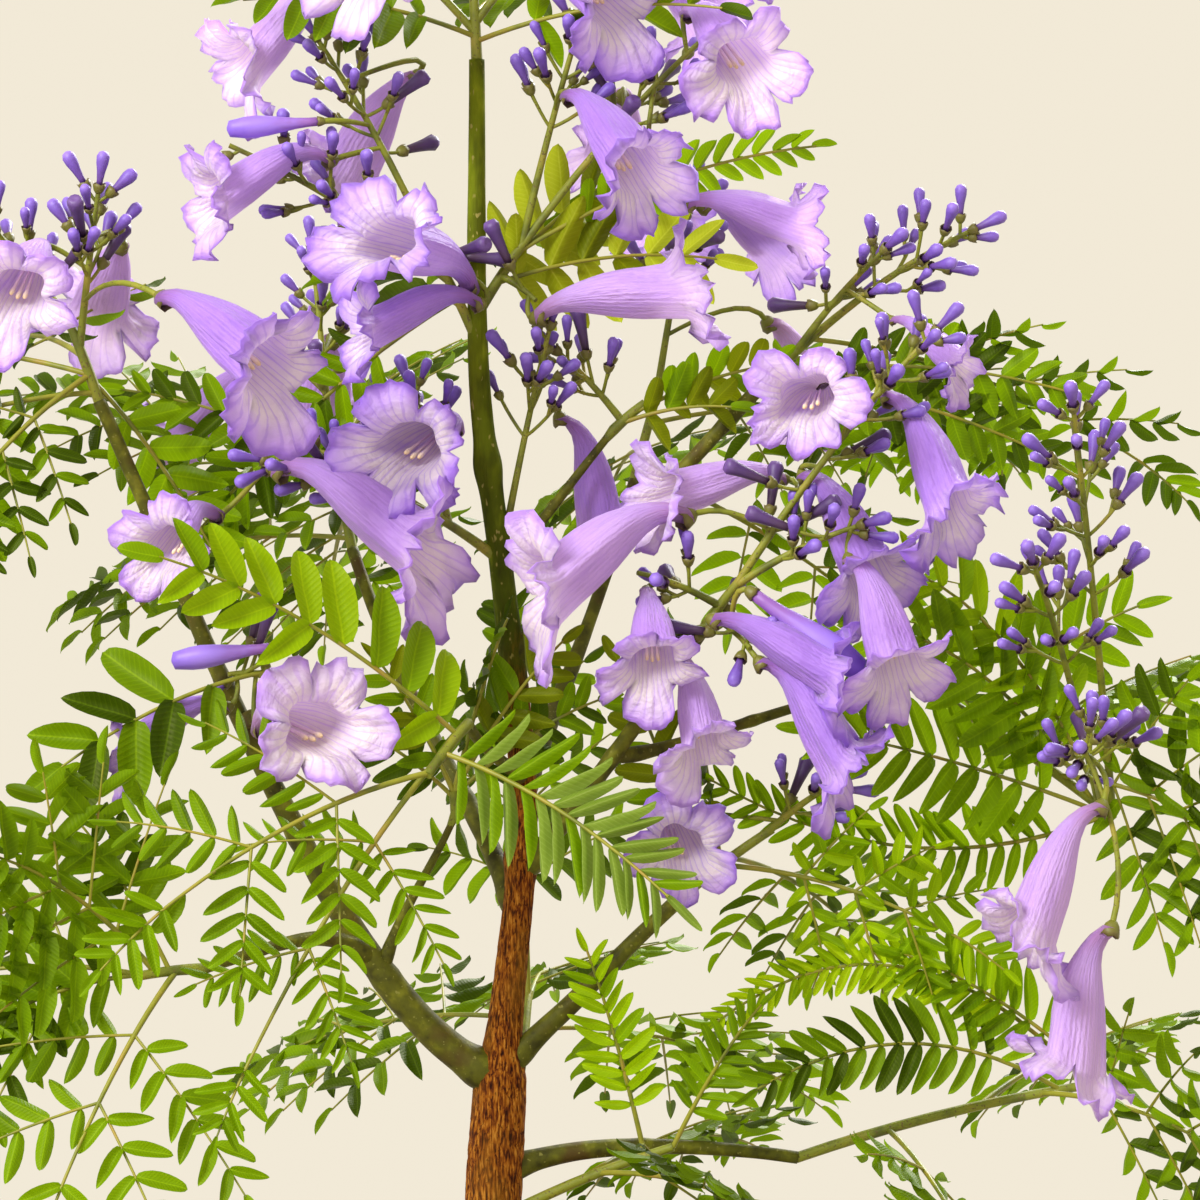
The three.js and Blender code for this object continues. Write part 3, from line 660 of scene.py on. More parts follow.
height = bark.node("ShaderNodeSeparateXYZ", {0: place}).outputs["Z"]
ragged = bark.math("MULTIPLY_ADD", bark.noise(90, 3), 0.05, height)
turn = bark.mask(ragged, (BROWN_TOP + 18) * MM, (BROWN_TOP + 48) * MM)
fade = bark.mask(ragged, (YOUNG_TOP - 20) * MM, (YOUNG_TOP + 50) * MM)
olive = bark.mix(pore, bark.mix(fade, olive, young), srgb(150, 142, 70))
bark.paint(bark.mix(turn, rust, olive))
bark.bump(streak, 0.5, 0.6 * MM)
dress(trunk_mesh, bark, "bark", "trunk")

# %% [markdown]
# ## The boughs
# Each bough is one tapering limb that leaves the trunk or another bough and bends to its tip. The rows
# below repeat the source's: where it starts, where it ends, how it leaves and arrives, and its two
# thicknesses. Younger wood is smooth and olive green, with pale pores and a swollen collar.

# %% Bough lines
BOUGHS = [
    ("left_bough", "trunk", 160, (-87, -8, 309), (-32, -2, 12), (-27, -2, 61), 3.9, 1.5),
    ("left_low_bough", "left_bough", 0.22, (-62, -32, 188), (-9, -6, 10), (-16, -12, -4), 2.2, 1.1),
    ("left_side_bough", "left_bough", 0.56, (-49, -17, 247), (3, -8, 4), (1, -4, 8), 1.7, 1.0),
    ("left_shoot", "left_bough", 0.2, (-9.5, -7, 219), (2, -2, 12), (6, -1, 14), 1.4, 0.8),
    ("right_bough", "trunk", 162, (38, 2, 198), (14, 0, 12), (11, 1, 10), 2.7, 1.7),
    ("right_middle_bough", "trunk", 205, (44, -14, 259), (10, -3, 11), (11, -3, 16), 2.4, 1.5),
    ("right_far_bough", "right_middle_bough", 0.5, (92, 14, 247), (14, 6, 0), (22, 2, 2), 1.5, 1.0),
    ("right_upper_bough", "trunk", 252, (57, 12, 312), (18, 4, 21), (16, 2, 17), 2.3, 1.6),
    ("low_right_bough", "trunk", 138, (66, 8, 141), (16, 3, 9), (18, 2, -3), 2.6, 1.4),
    ("leaf_stalk_bough", "trunk", 272, (25, 8, 303), (8, 3, 9), (10, 2, 12), 1.4, 0.9),
    ("back_left_bough", "trunk", 196, (-36, 56, 276), (-8, 20, 22), (-14, 16, 40), 2.6, 1.4),
    ("back_right_bough", "trunk", 222, (30, 58, 292), (6, 20, 18), (10, 18, 36), 2.4, 1.3),
    ("back_low_bough", "trunk", 120, (4, 60, 160), (2, 22, 12), (2, 20, 14), 2.6, 1.4),
    ("front_bough", "trunk", 226, (-6, -30, 240), (-2, -10, 3), (-2, -10, 6), 1.7, 1.1),
]
HEIGHT_SAMPLES = 2000
BOUGH_TAPER = 1.6
limb_lines = {"trunk": TRUNK_LINE}
limb_radius = {"trunk": lambda share: trunk_radius(TRUNK_LINE.at(share)[2])}


def start_on(parent, where):
    """A point of the trunk at a height, or of a bough at a share of its length."""
    if parent != "trunk":
        return limb_lines[parent].at(where)
    shares = np.linspace(0, 1, HEIGHT_SAMPLES)
    heights = np.interp(shares * TRUNK_LINE.length, TRUNK_LINE.reach, TRUNK_LINE.points[:, 2])
    return TRUNK_LINE.at(shares[np.searchsorted(heights, where)])


def bough_radius(thick, thin):
    return lambda share: thin + (thick - thin) * (1 - share) ** BOUGH_TAPER


for name, parent, where, tip, leave, arrive, thick, thin in BOUGHS:
    root, end = start_on(parent, where), np.array(tip, float)
    limb_lines[name] = curve(root, root + leave, end - np.array(arrive, float), end)
    limb_radius[name] = bough_radius(thick, thin)


# %% Green bark finish and bough meshes
BOUGH_SIDES, BOUGH_STEP, FEWEST_RINGS = 20, 1.2, 24
COLLAR_RUN, COLLAR_WIDTH, COLLAR_SWELL = 5, 3.5, 0.25
SCAR_START, SCAR_SPACING, SCAR_END, SCAR_WIDTH, SCAR_HEIGHT = 34, 37, 8, 1.6, 0.22
KNOB_SCALE, KNOB_STRETCH, KNOB_HEIGHT, FULL_KNOB_RADIUS = 1.4, 0.11, 0.16, 2
green_bark = Finish("green_bark", 0.62)
green_bark.set("Specular IOR Level", 0.25)
skin_tone = green_bark.tones(
    green_bark.noise(260, 3), (0.3, 56, 54, 4), (0.5, 84, 84, 8), (0.72, 116, 116, 20),
)
brown = green_bark.mask(green_bark.noise(90, 3), 0.52, 0.74)
skin_tone = green_bark.mix(brown, skin_tone, srgb(80, 62, 18))
pores = green_bark.mask(green_bark.noise(1100, 1), 0.68, 0.74, 0.7)
green_bark.paint(green_bark.mix(pores, skin_tone, srgb(138, 134, 62)))
green_bark.bump(green_bark.noise(800, 3), 0.3, 0.4 * MM)


def bough_skin(name):
    radius, length = limb_radius[name], limb_lines[name].length

    def relief(share, angle, middle, out):
        run = share * length
        collar = COLLAR_SWELL * math.exp(-((run - COLLAR_RUN) / COLLAR_WIDTH) ** 2)
        scars = range(SCAR_START, int(length) - SCAR_END, SCAR_SPACING)
        ring = SCAR_HEIGHT * sum(math.exp(-(((run - scar) / SCAR_WIDTH) ** 2)) for scar in scars)
        x, y, z = (v * KNOB_SCALE for v in out)
        knob = noise.noise(Vector((x, y, z + run * KNOB_STRETCH)))
        knob = KNOB_HEIGHT * knob * min(1, radius(share) / FULL_KNOB_RADIUS)
        return radius(share) * (1 + collar) + ring + knob

    return relief


for name, *_ in BOUGHS:
    line = limb_lines[name]
    rings = max(FEWEST_RINGS, int(line.length / BOUGH_STEP))
    bough_mesh = skin(name + "_skin", line, bough_skin(name), rings, BOUGH_SIDES)
    dress(bough_mesh, green_bark, "green_bark", name)


# %% [markdown]
# ## What each mass carries
# The rows repeat the source's plan. A mass has one stem on a bough's tip or on the trunk. On the stem sit
# sprays (leaves divided once, with large leaflets), fronds (leaves divided twice) and spikes (flower stalks
# with buds and open flowers). Each leaf also has a tint. The darker deep tint is painted shade for leaves in
# shade, and a lighter green tint is painted light for leaves lit from behind. The flowers' shades are dealt
# out in turn, further below.

# %% Plan
Frond = namedtuple("Frond", "share tip blade tilt tint leaf wide pairs", defaults=("leaf", 0.36, 0.36, 3))
Spray = namedtuple("Spray", "share tip blade tilt tint wide rise bare", defaults=("fresh", 0.44, 0.12, 0.25))
Spike = namedtuple("Spike", "share tip buds flowers", defaults=((),))
Flower = namedtuple("Flower", "share base heading pitch size opened", defaults=(True,))
Mass = namedtuple("Mass", "name parent where tip parts")

MASSES = [
    Mass("crown_top", "trunk", 1, (-6, 2, 404), [
        Spike(0.9, (-12, -2, 434), 1, [
            Flower(0.2, (-18, -8, 408), 250, -18, 0.95),
            Flower(0.35, (6, -10, 408), -40, -30, 1),
        ]),
        Spike(0.4, (24, 8, 426), 1, [
            Flower(0.4, (22, 0, 404), -20, 5, 0.95),
            Flower(0.7, (28, 14, 412), 40, -35, 0.9),
        ]),
        Spike(0.3, (-38, 6, 420), 1, [Flower(0.5, (-34, 0, 400), 195, -40, 0.95)]),
        Spray(0.2, (48, -26, 392), 16, 50, "leaf"),
        Spray(0.25, (-54, -24, 394), 16, 50, "leaf"),
        Spray(0.5, (8, 62, 404), 18, 20, "leaf"),
    ]),
    Mass("upper_left", "trunk", 322, (-14, -5, 341), [
        Spike(0.95, (-39, -12, 387), 1, [
            Flower(0.05, (-6, -8, 333), 237, 16, 1.1),
            Flower(0.02, (-4, -11, 330), 200, -14, 0.9),
            Flower(0.5, (-36, -12, 361), 203, -20, 0.95),
            Flower(0.6, (-38, -16, 369), 182, -5, 0.55, False),
            Flower(0.8, (-18, 4, 381), 160, -50, 0.95),
        ]),
        Spike(0.7, (-58, -14, 364), 2),
        Spray(0.5, (-74, 16, 273), 15, 98, "leaf", 0.34),
        Spray(0.4, (-40, 46, 340), 18, 30, "leaf"),
    ]),
    Mass("upper_right", "trunk", 328, (6, 1, 345), [
        Spike(0.5, (8, -6, 331), 0, [Flower(0.8, (8, -7, 327), -4, 10, 1.08)]),
        Spike(0.9, (18, -6, 392), 1, [Flower(0.6, (15, -12, 375), -50, -38, 1)]),
        Spike(0.7, (46, 2, 390), 1, [
            Flower(0.75, (41, -4, 352), 12, -10, 0.85),
            Flower(0.9, (41, -2, 394), -60, -30, 0.95),
            Flower(0.6, (27, 16, 378), 95, -30, 0.9),
        ]),
        Spray(0.4, (48, 10, 341), 19, 76, "pale", 0.4, 0.12, 0.1),
        Spray(0.6, (31, 16, 362), 17, 92, "pale", 0.4, 0.12, 0.1),
        Spray(0.8, (70, 10, 366), 11, 55, "fresh", 0.4),
        Spray(0.7, (22, 60, 352), 18, 25, "leaf"),
    ]),
    Mass("inner_right", "leaf_stalk_bough", 1, (32, 9, 309), [
        Spray(0.5, (66, 8, 318), 10, 60, "olive", 0.5),
        Spray(0.2, (51, 4, 308), 13, 65, "olive"),
        Spike(0.3, (13, 6, 320), 1, [Flower(0.6, (13, 14, 306), 30, -68, 0.95)]),
    ]),
    Mass("left", "left_bough", 1, (-94, -10, 328), [
        Spike(0.6, (-86, -16, 354), 2, [
            Flower(0.3, (-70, -38, 330), -32, -28, 1.1),
            Flower(0.5, (-98, -16, 342), 265, -25, 0.95),
            Flower(0.7, (-84, 8, 344), 110, -30, 0.9),
        ]),
        Spike(0.9, (-112, -4, 348), 1, [Flower(0.4, (-110, -12, 336), 212, -42, 0.95)]),
        Spray(0.25, (-62, 2, 274), 15, 76, "fresh"),
        Frond(0.1, (-146, -26, 292), 34, 70, "leaf", 0.42),
        Frond(0.3, (-156, 8, 318), 34, 68, "leaf", 0.42),
        Frond(0.5, (-122, 56, 322), 34, 30),
        Frond(0.3, (-118, -30, 282), 24, 62, "deep"),
    ]),
    Mass("left_center", "trunk", 274, (-14, -6, 284), [
        Spike(0.8, (-20, 6, 312), 1, [Flower(0.5, (-10, 9, 303), -108, -9, 1.05)]),
        Spike(0.95, (-50, -12, 296), 1, [
            Flower(0.75, (-48, -13, 294), -19, -27, 1.25),
            Flower(0.98, (-61, -9, 284), -112, -16, 0.85),
        ]),
        Spray(0.9, (-84, 6, 312), 12, 78, "leaf", 0.45),
        Frond(0.5, (-70, 44, 296), 30, 30),
        Spike(0, (11, -4, 325), 1),
    ]),
    Mass("left_mid", "left_side_bough", 1, (-51, -20, 256), [
        Spike(0.3, (-58, -20, 250), 1, [
            Flower(0.3, (-51, -21, 238), -62, 4, 1.1),
            Flower(0.8, (-58, -20, 243), 182, -24, 0.8),
            Flower(0.6, (-48, -22, 256), 178, -8, 0.6, False),
        ]),
        Spray(0.4, (-92, -34, 231), 20, 62, "leaf"),
    ]),
    Mass("inner_left", "left_shoot", 1, (-10, -8, 224), [
        Spray(0.95, (-26, -16, 253), 12, 100, "olive", 0.4),
        Spray(0.9, (14, -15, 257), 13, 88, "olive", 0.38),
        Spray(0.8, (22, -8, 244), 11, 85, "deep", 0.42),
        Spray(0.7, (-32, -8, 238), 11, 80, "deep", 0.42),
        Spray(0.9, (2, -14, 262), 11, 88, "deep", 0.42),
    ]),
    Mass("lower_left", "left_low_bough", 1, (-76, -38, 187), [
        Frond(0.4, (-88, -60, 148), 42, 36, "fresh", 0.28, 0.36, 2),
        Frond(0.9, (-118, -36, 186), 40, 66, "leaf", 0.3),
        Frond(0.7, (-96, -58, 212), 34, 98, "fresh", 0.4),
        Spray(0.5, (-88, -38, 220), 14, 70, "leaf", 0.4),
        Spray(0.8, (-106, -42, 178), 14, 75, "leaf", 0.4),
    ]),
    Mass("front", "front_bough", 1, (-14, -44, 230), [
        Spray(0.25, (-68, -62, 276), 19, 76, "bright", 0.44, 0.12, 0.08),
        Spray(0.6, (36, -58, 206), 19, 104, "sage", 0.2, 0.12, 0.06),
        Frond(0.4, (-50, -70, 172), 28, 48, "fresh", 0.34, 0.26, 2),
        Frond(0.95, (-66, -70, 205), 34, 64, "fresh", 0.34, 0.3, 2),
    ]),
    Mass("right_center", "right_middle_bough", 1, (52, -18, 270), [
        Spike(0.95, (93, -26, 323), 2, [
            Flower(0.75, (84, -16, 310), -50, -52, 1.05),
            Flower(0.6, (71, -12, 311), -102, -5, 0.95),
            Flower(0.25, (62, -6, 292), 200, -8, 0.95),
            Flower(0.2, (41, -22, 284), 203, -26, 1.25),
            Flower(0.45, (66, -14, 293), -35, -52, 0.95),
        ]),
        Spike(0.9, (77, -28, 282), 2, [Flower(0.95, (75, -28, 275), -42, -60, 0.92)]),
        Spike(0.5, (30, -26, 272), 1, [Flower(0.6, (32, -20, 268), -85, -42, 0.78)]),
        Spike(0.3, (54, -28, 256), 1, [
            Flower(0.3, (38, -19, 255), -60, -58, 0.8),
            Flower(0.4, (46, -28, 262), -10, -24, 0.95),
            Flower(0.7, (56, -28, 253), -20, -50, 0.95),
            Flower(0.5, (54, -28, 268), -12, -35, 0.8, False),
        ]),
    ]),
    Mass("right_upper", "right_upper_bough", 1, (72, 12, 326), [
        Spike(0.95, (104, 8, 347), 3),
        Spike(0.6, (84, 0, 342), 1, [Flower(0.6, (86, -2, 327), -20, -35, 0.6)]),
        Spray(0.2, (130, 20, 311), 13, 78, "leaf"),
        Spray(0.1, (126, 26, 296), 12, 76, "leaf"),
        Frond(0.5, (112, 62, 303), 34, 30),
        Frond(0.8, (148, 48, 296), 30, 35, "deep"),
    ]),
    Mass("right", "right_far_bough", 1, (136, 8, 217), [
        Spray(0.97, (86, -6, 273), 17, 82, "bright", 0.32, 0.3),
        Spray(0.9, (82, -14, 260), 18, 82, "fresh", 0.32, 0.24),
        Spray(1, (68, -16, 238), 17, 82, "fresh", 0.32, 0.05),
        Spray(0.98, (46, 2, 226), 12, 80, "fresh", 0.3, -0.25, 0.15),
        Frond(0.72, (156, -12, 216), 36, 76, "leaf", 0.4, 0.3),
        Frond(0.5, (146, 46, 242), 35, 28, "leaf", 0.4, 0.3),
        Spike(1, (120, -50, 306), 2),
        Spike(0.93, (112, -50, 274), 1),
        Spike(0.95, (122, -50, 236), 1, [
            Flower(0.8, (126, -50, 224), 200, -58, 1),
            Flower(0.92, (128, -52, 199), 200, -72, 1),
        ]),
        Spray(0.3, (142, 10, 264), 16, 75, "fresh", 0.36),
    ]),
    Mass("right_low", "right_bough", 1, (60, 0, 215), [
        Spike(0.95, (74, -8, 226), 1, [Flower(0.2, (35, 4, 217), -80, -10, 0.9)]),
        Frond(0.5, (100, -6, 192), 24, 80, "bright"),
        Frond(0.6, (86, 52, 182), 30, 30),
        Spray(0.3, (26, 14, 252), 13, 80, "olive", 0.4),
        Spray(0.5, (40, 16, 258), 13, 84, "deep", 0.4),
    ]),
    Mass("low_right", "low_right_bough", 1, (134, 6, 158), [
        Spray(0.95, (46, -6, 172), 9, 76, "young", 0.28, 0.46),
        Spray(0.86, (55, -20, 160), 13, 76, "leaf", 0.32, 0.28),
        Spray(1, (88, -2, 188), 13, 82, "fresh", 0.32),
        Frond(0.8, (156, -34, 148), 32, 68, "leaf"),
        Frond(0.6, (142, 48, 160), 34, 30, "leaf"),
        Frond(0.3, (104, -44, 122), 32, 40, "fresh"),
    ]),
    Mass("low_shoot", "trunk", 128, (38, -8, 146), [
        Spray(0.85, (19, -12, 190), 11, 14, "bright", 0.3),
        Spray(1, (57, -14, 178), 10, 80, "fresh", 0.3),
        Frond(0.6, (62, -40, 135), 30, 35, "leaf"),
        Frond(0.5, (50, 38, 141), 31, 28, "leaf"),
    ]),
    Mass("back_left", "back_left_bough", 1, (-42, 64, 300), [
        Spike(0.9, (-46, 66, 346), 1, [
            Flower(0.3, (-56, 66, 318), 170, -40, 1),
            Flower(0.5, (-42, 76, 326), 100, -35, 1),
        ]),
        Frond(0.1, (-92, 82, 270), 38, 30),
        Frond(0.3, (-46, 118, 262), 38, 25),
        Frond(0.5, (-98, 66, 312), 34, 35),
        Frond(0.8, (-30, 108, 318), 34, 30),
    ]),
    Mass("back_right", "back_right_bough", 1, (36, 66, 314), [
        Spike(0.9, (44, 70, 360), 1, [
            Flower(0.3, (62, 76, 330), 60, -40, 1),
            Flower(0.9, (30, 82, 372), 70, -35, 1),
            Flower(0.7, (46, 68, 357), 45, -20, 0.9),
        ]),
        Frond(0.1, (104, 86, 246), 38, 30),
        Frond(0.3, (24, 122, 288), 38, 25),
        Frond(0.6, (94, 70, 306), 34, 35),
    ]),
    Mass("back_low", "back_low_bough", 1, (5, 72, 170), [
        Frond(0.2, (62, 92, 148), 38, 25),
        Frond(0.4, (-52, 92, 154), 38, 25),
        Frond(0.6, (9, 130, 167), 38, 21),
        Frond(0.9, (2, 86, 248), 36, 40, "deep"),
    ]),
]
MASS_NODES = [row.name + "_mass" for row in MASSES]
print(len(MASSES), "masses,", sum(len(row.parts) for row in MASSES), "sprigs")

# %% [markdown]
# ## Growing the plan
# The rule is the source's, carried further: where a solid has one blade, a leaf here has a stalk of its own
# with leaflets in pairs. The rule only writes lists: twigs with their thickness, and for each leaflet,
# flower, bud and cup a point, the way it points, the way its face looks, and its size.

# %% Lists that the rule fills
UP = np.array([0, 0, 1.0])
twigs = {"leaf_stalks": [], "flower_stalks": []}
leaflets, blooms, closed_blooms, sprouts, buds, cups, husks = ([] for _ in range(7))


def planted(at, along, face, size, **more):
    """A row for one thing to plant: its place, its way, its face, and one size or three."""
    return {"at": at, "along": along, "face": face, "size": size if np.ndim(size) else (size,) * 3, **more}


def direction(heading, pitch):
    h, p = math.radians(heading), math.radians(pitch)
    return np.array([math.cos(h) * math.cos(p), math.sin(h) * math.cos(p), math.sin(p)])


def path(line, thick, thin, steps):
    return [(line.at(s), thick + (thin - thick) * s) for s in np.linspace(0, 1, steps)]


def twig(kind, line, thick, thin, steps):
    twigs[kind].append(path(line, thick, thin, steps))


def leaf_side(way, tilt):
    """The side of a leaf that runs along a way, turned about it by a tilt in degrees."""
    up = np.array([0, -1.0, 0]) if abs(way[2]) > 0.94 else UP
    face = unit(up - way * up.dot(way))
    tilt = math.radians(tilt)
    return unit(np.cross(way, face) * math.cos(tilt) + face * math.sin(tilt))


def fan(way, side, hand, angle):
    """A way turned to one hand by an angle, or straight on where the hand is 0."""
    return way * (math.cos(angle) if hand else 1) + side * hand * math.sin(angle)


# %% Leaflets along a stalk
SPRAY_STALK, FROND_STALK, RIB_STALK = (0.62, 0.28, 14), (0.7, 0.34, 14), (0.36, 0.2, 8)
FEWEST_LEAFLETS = 4
FROND_RISE, FROND_BARE, FROND_RUN = 0.12, 0.34, 0.64
FROND_ANGLE, FROND_CLOSING, FROND_SHORTEN = 64, 26, 0.45
ROW_END = 0.985
SPRAY_SPACING, FROND_SPACING = 1.05, 1.6


def leaflet_row(line, start, count, length, wide, side, tint, draw, spread=(66, 40), shorten=0.45):
    """Pairs of leaflets that lean towards the tip and shorten along the stalk, with one to end it."""
    for i in range(count + 1):
        u = i / count
        share = start + (ROW_END - start) * u
        way = line.way(share)
        across = unit(side - way * side.dot(way))
        normal = np.cross(across, way)
        small = (0.8 + 0.2 * min(1, 4 * u)) * (1 - shorten * u * u)
        angle = math.radians(spread[0] + (spread[1] - spread[0]) * u)
        for hand in ((0,) if i == count else (-1, 1)):
            aim = fan(way, across, hand, angle + math.radians(draw.normal(0, 5)))
            aim = unit(aim + normal * draw.normal(0.08, 0.1) - 0.1 * UP)
            look = unit(normal + way * draw.normal(0, 0.16) + across * draw.normal(-0.18 * hand, 0.12))
            long = length * small * draw.uniform(0.92, 1.05)
            size = (long * wide * draw.uniform(0.92, 1.08), long, long)
            leaflets.append(planted(line.at(share), aim, look, size, tint=tint))


def grow_spray(stem, part, draw):
    line = arch(stem.at(part.share), part.tip, part.rise)
    twig("leaf_stalks", line, *SPRAY_STALK)
    side = leaf_side(line.way(0.5), part.tilt)
    count = round((1 - part.bare) * line.length / (SPRAY_SPACING * part.wide * part.blade))
    count = max(FEWEST_LEAFLETS, count)
    leaflet_row(line, part.bare, count, part.blade, part.wide, side, part.tint, draw)


def grow_frond(stem, part, draw):
    line = arch(stem.at(part.share), part.tip, FROND_RISE)
    twig("leaf_stalks", line, *FROND_STALK)
    small = part.leaf * part.blade
    for i in range(part.pairs + 1):
        u = i / part.pairs
        share = FROND_BARE + FROND_RUN * u
        root, way = line.at(share), line.way(share)
        side = leaf_side(way, part.tilt)
        length = part.blade * (1 - FROND_SHORTEN * u * u)
        count = max(FEWEST_LEAFLETS, round(0.9 * length / (FROND_SPACING * part.wide * small)))
        for hand in ((0,) if i == part.pairs else (-1, 1)):
            aim = unit(fan(way, side, hand, math.radians(FROND_ANGLE - FROND_CLOSING * u)) - 0.06 * UP)
            end = root + aim * length * draw.uniform(0.94, 1.02) - 0.07 * length * UP
            rib = curve(root, root + aim * length * 0.5 + 0.02 * length * UP, end)
            twig("leaf_stalks", rib, *RIB_STALK)
            across = unit(way - aim * way.dot(aim)) if hand else side
            leaflet_row(rib, 0.1, count, small, part.wide, across, part.tint, draw, (64, 44), 0.4)


# %% Flower stalks
SPROUT_REACH = {"bud": 8.0, "husk": 11.0}
SPIKE_STALK, BLOOM_STALK, BUD_STALK = (0.95, 0.55, 12), (0.5, 0.7, 9), (0.4, 0.42, 5)
HUSK_CHANCE = 0.6
ARM_SPACING, ARM_START, LOWEST_ARM = 5.5, 2.5, 0.3
FIRST_ARM, ARM_GROWTH, LONGEST_ARM = 3, 1.5, 9
FORKED_ARM, FORK_BACK, FORK_LENGTH = 5.5, 2.2, 3.8
SPIKE_RISE = 0.08
STALK_OVERLAP = 0.2
CUP_DROP, CUP_SIZE = 0.6, 1.45


def pedicel(start, aim, length):
    """A short stalk that bends upwards: its path, its end and the way it points there."""
    end = start + aim * length * 0.92 + 0.16 * length * UP
    line = curve(start, start + aim * length * 0.5, end)
    return path(line, *BUD_STALK), end, line.way(1)


def sprout(stalk, point, aim, size, kind="bud"):
    look = unit(np.cross(aim, (0.3, 0.9, 0.2)))
    sprouts.append(planted(point, aim, look, size, kind=kind, stalk=stalk))


def grow_bud_arms(line, nodes, draw):
    """Opposite arms, crosswise from node to node, longer the further they are from the tip."""
    sprout([], line.at(1), line.way(1), 1.0)
    step = max(ARM_SPACING, 0.5 * line.length / nodes)
    for k in range(nodes):
        share = 1 - (ARM_START + step * k) / line.length
        if share < LOWEST_ARM:
            break
        way = line.way(share)
        side = unit(np.cross(way, (0.2, 1, 0.1)))
        over = np.cross(way, side)
        turn = math.radians(90 * (k % 2) + draw.uniform(-25, 25))
        for hand in (-1, 1):
            out = hand * (math.cos(turn) * side + math.sin(turn) * over)
            aim = unit(out + way * draw.uniform(0.5, 1.0))
            length = min(LONGEST_ARM, FIRST_ARM + ARM_GROWTH * k) * draw.uniform(0.8, 1.2)
            stalk, end, final = pedicel(line.at(share), aim, length)
            sprout(stalk, end, final, draw.uniform(0.8, 1.05))
            if length > FORKED_ARM:
                swing = draw.choice((-1, 1))
                twist = unit(final + swing * 0.9 * unit(np.cross(final, way)) + 0.2 * out)
                sprout(*pedicel(end - final * FORK_BACK, twist, FORK_LENGTH), draw.uniform(0.7, 0.95))


def grow_spike(stem, part, draw):
    line = arch(stem.at(part.share), part.tip, SPIKE_RISE)
    twig("flower_stalks", line, *SPIKE_STALK)
    for bloom in part.flowers:
        base, way = np.array(bloom.base, float), direction(bloom.heading, bloom.pitch)
        joint = line.at(bloom.share)
        bend = base - way * 0.45 * np.linalg.norm(base - joint)
        twig("flower_stalks", curve(joint, bend, base + STALK_OVERLAP * way), *BLOOM_STALK)
        up = unit(UP + 0.25 * draw.normal(0, 1, 3))
        (blooms if bloom.opened else closed_blooms).append(planted(base, way, up, bloom.size))
        cups.append(planted(base - way * CUP_DROP, way, up, CUP_SIZE * bloom.size))
        if draw.uniform() < HUSK_CHANCE:
            aim = unit(draw.normal(0, 1, 3) + np.array([0, -0.3, -0.2]))
            aim = unit(aim - 1.3 * way * max(0, aim.dot(way)) - 0.4 * way)
            sprout(*pedicel(line.at(bloom.share * 0.8), aim, draw.uniform(4, 7)), 1.0, "husk")
    if part.buds:
        grow_bud_arms(line, 3 + 2 * part.buds, draw)


# %% Grow every mass
STEM_STALK = (1.25, 1.0, 10)
STEM_START, STEM_RISE, STEM_FOOT = 0.9, 0.05, 0.8
SEED_STEP = 1000
GROW = {Spray: grow_spray, Frond: grow_frond, Spike: grow_spike}
for number, row in enumerate(MASSES):
    limb = limb_lines[row.parent]
    on_tip = row.where == 1
    stem = arch(limb.at(1) if on_tip else start_on(row.parent, row.where), row.tip, STEM_RISE)
    twig("flower_stalks", stem, *STEM_STALK)
    if on_tip:
        start = (limb.at(STEM_START), STEM_FOOT * limb_radius[row.parent](STEM_START))
        twigs["flower_stalks"][-1].insert(0, start)
    for order, part in enumerate(row.parts):
        GROW[type(part)](stem, part, np.random.default_rng(SEED_STEP * number + order))
print(len(leaflets), "leaflets,", len(blooms), "open flowers,", len(sprouts), "buds and husks")

# %% [markdown]
# ## Keeping leaflets clear
# A leaflet, bud or husk that would pass through a limb or a flower is left out, as in the source. The test
# is a distance from three points along it to sample points along limbs and flower tubes.

# %% Clear leaflets
FLOWER_GUARD = ((3, 2.4), (8, 3), (16, 5), (24, 7.5), (30, 8.5), (35, 11))
LIMB_MARGIN, LIMB_SAMPLES = 0.7, 90
TESTED_SHARES = (0.3, 0.65, 1.0)
guards = []
for name, line in limb_lines.items():
    shares = np.linspace(0, 1, LIMB_SAMPLES)
    guards += [(line.at(share), limb_radius[name](share) + LIMB_MARGIN) for share in shares]
for bloom in blooms + closed_blooms:
    size = bloom["size"][0]
    guards += [(bloom["at"] + bloom["along"] * run * size, radius * size) for run, radius in FLOWER_GUARD]
guard_points, guard_radius = (np.array(column) for column in zip(*guards))


def is_clear(row, reach=1.0):
    for share in TESTED_SHARES:
        spot = row["at"] + row["along"] * row["size"][1] * reach * share
        if np.any(np.linalg.norm(guard_points - spot, axis=1) < guard_radius):
            return False
    return True


before = len(leaflets)
leaflets = [leaflet for leaflet in leaflets if is_clear(leaflet)]
print(before - len(leaflets), "leaflets left out")
for row in sprouts:
    if is_clear(row, SPROUT_REACH[row["kind"]]):
        twigs["flower_stalks"] += [row["stalk"]] if row["stalk"] else []
        cups.append(row)
        lifted = {**row, "at": row["at"] + row["along"] * row["size"][0]}
        (buds if row["kind"] == "bud" else husks).append(lifted)
print(len(buds), "buds and", len(husks), "husks kept")

# %% [markdown]
# ## Stalks and twigs
# A stalk is a path with a thickness, which is just what Geometry Nodes' Curve to Mesh is for: the splines
# carry a radius at each point, and one small circle is swept along all of them.


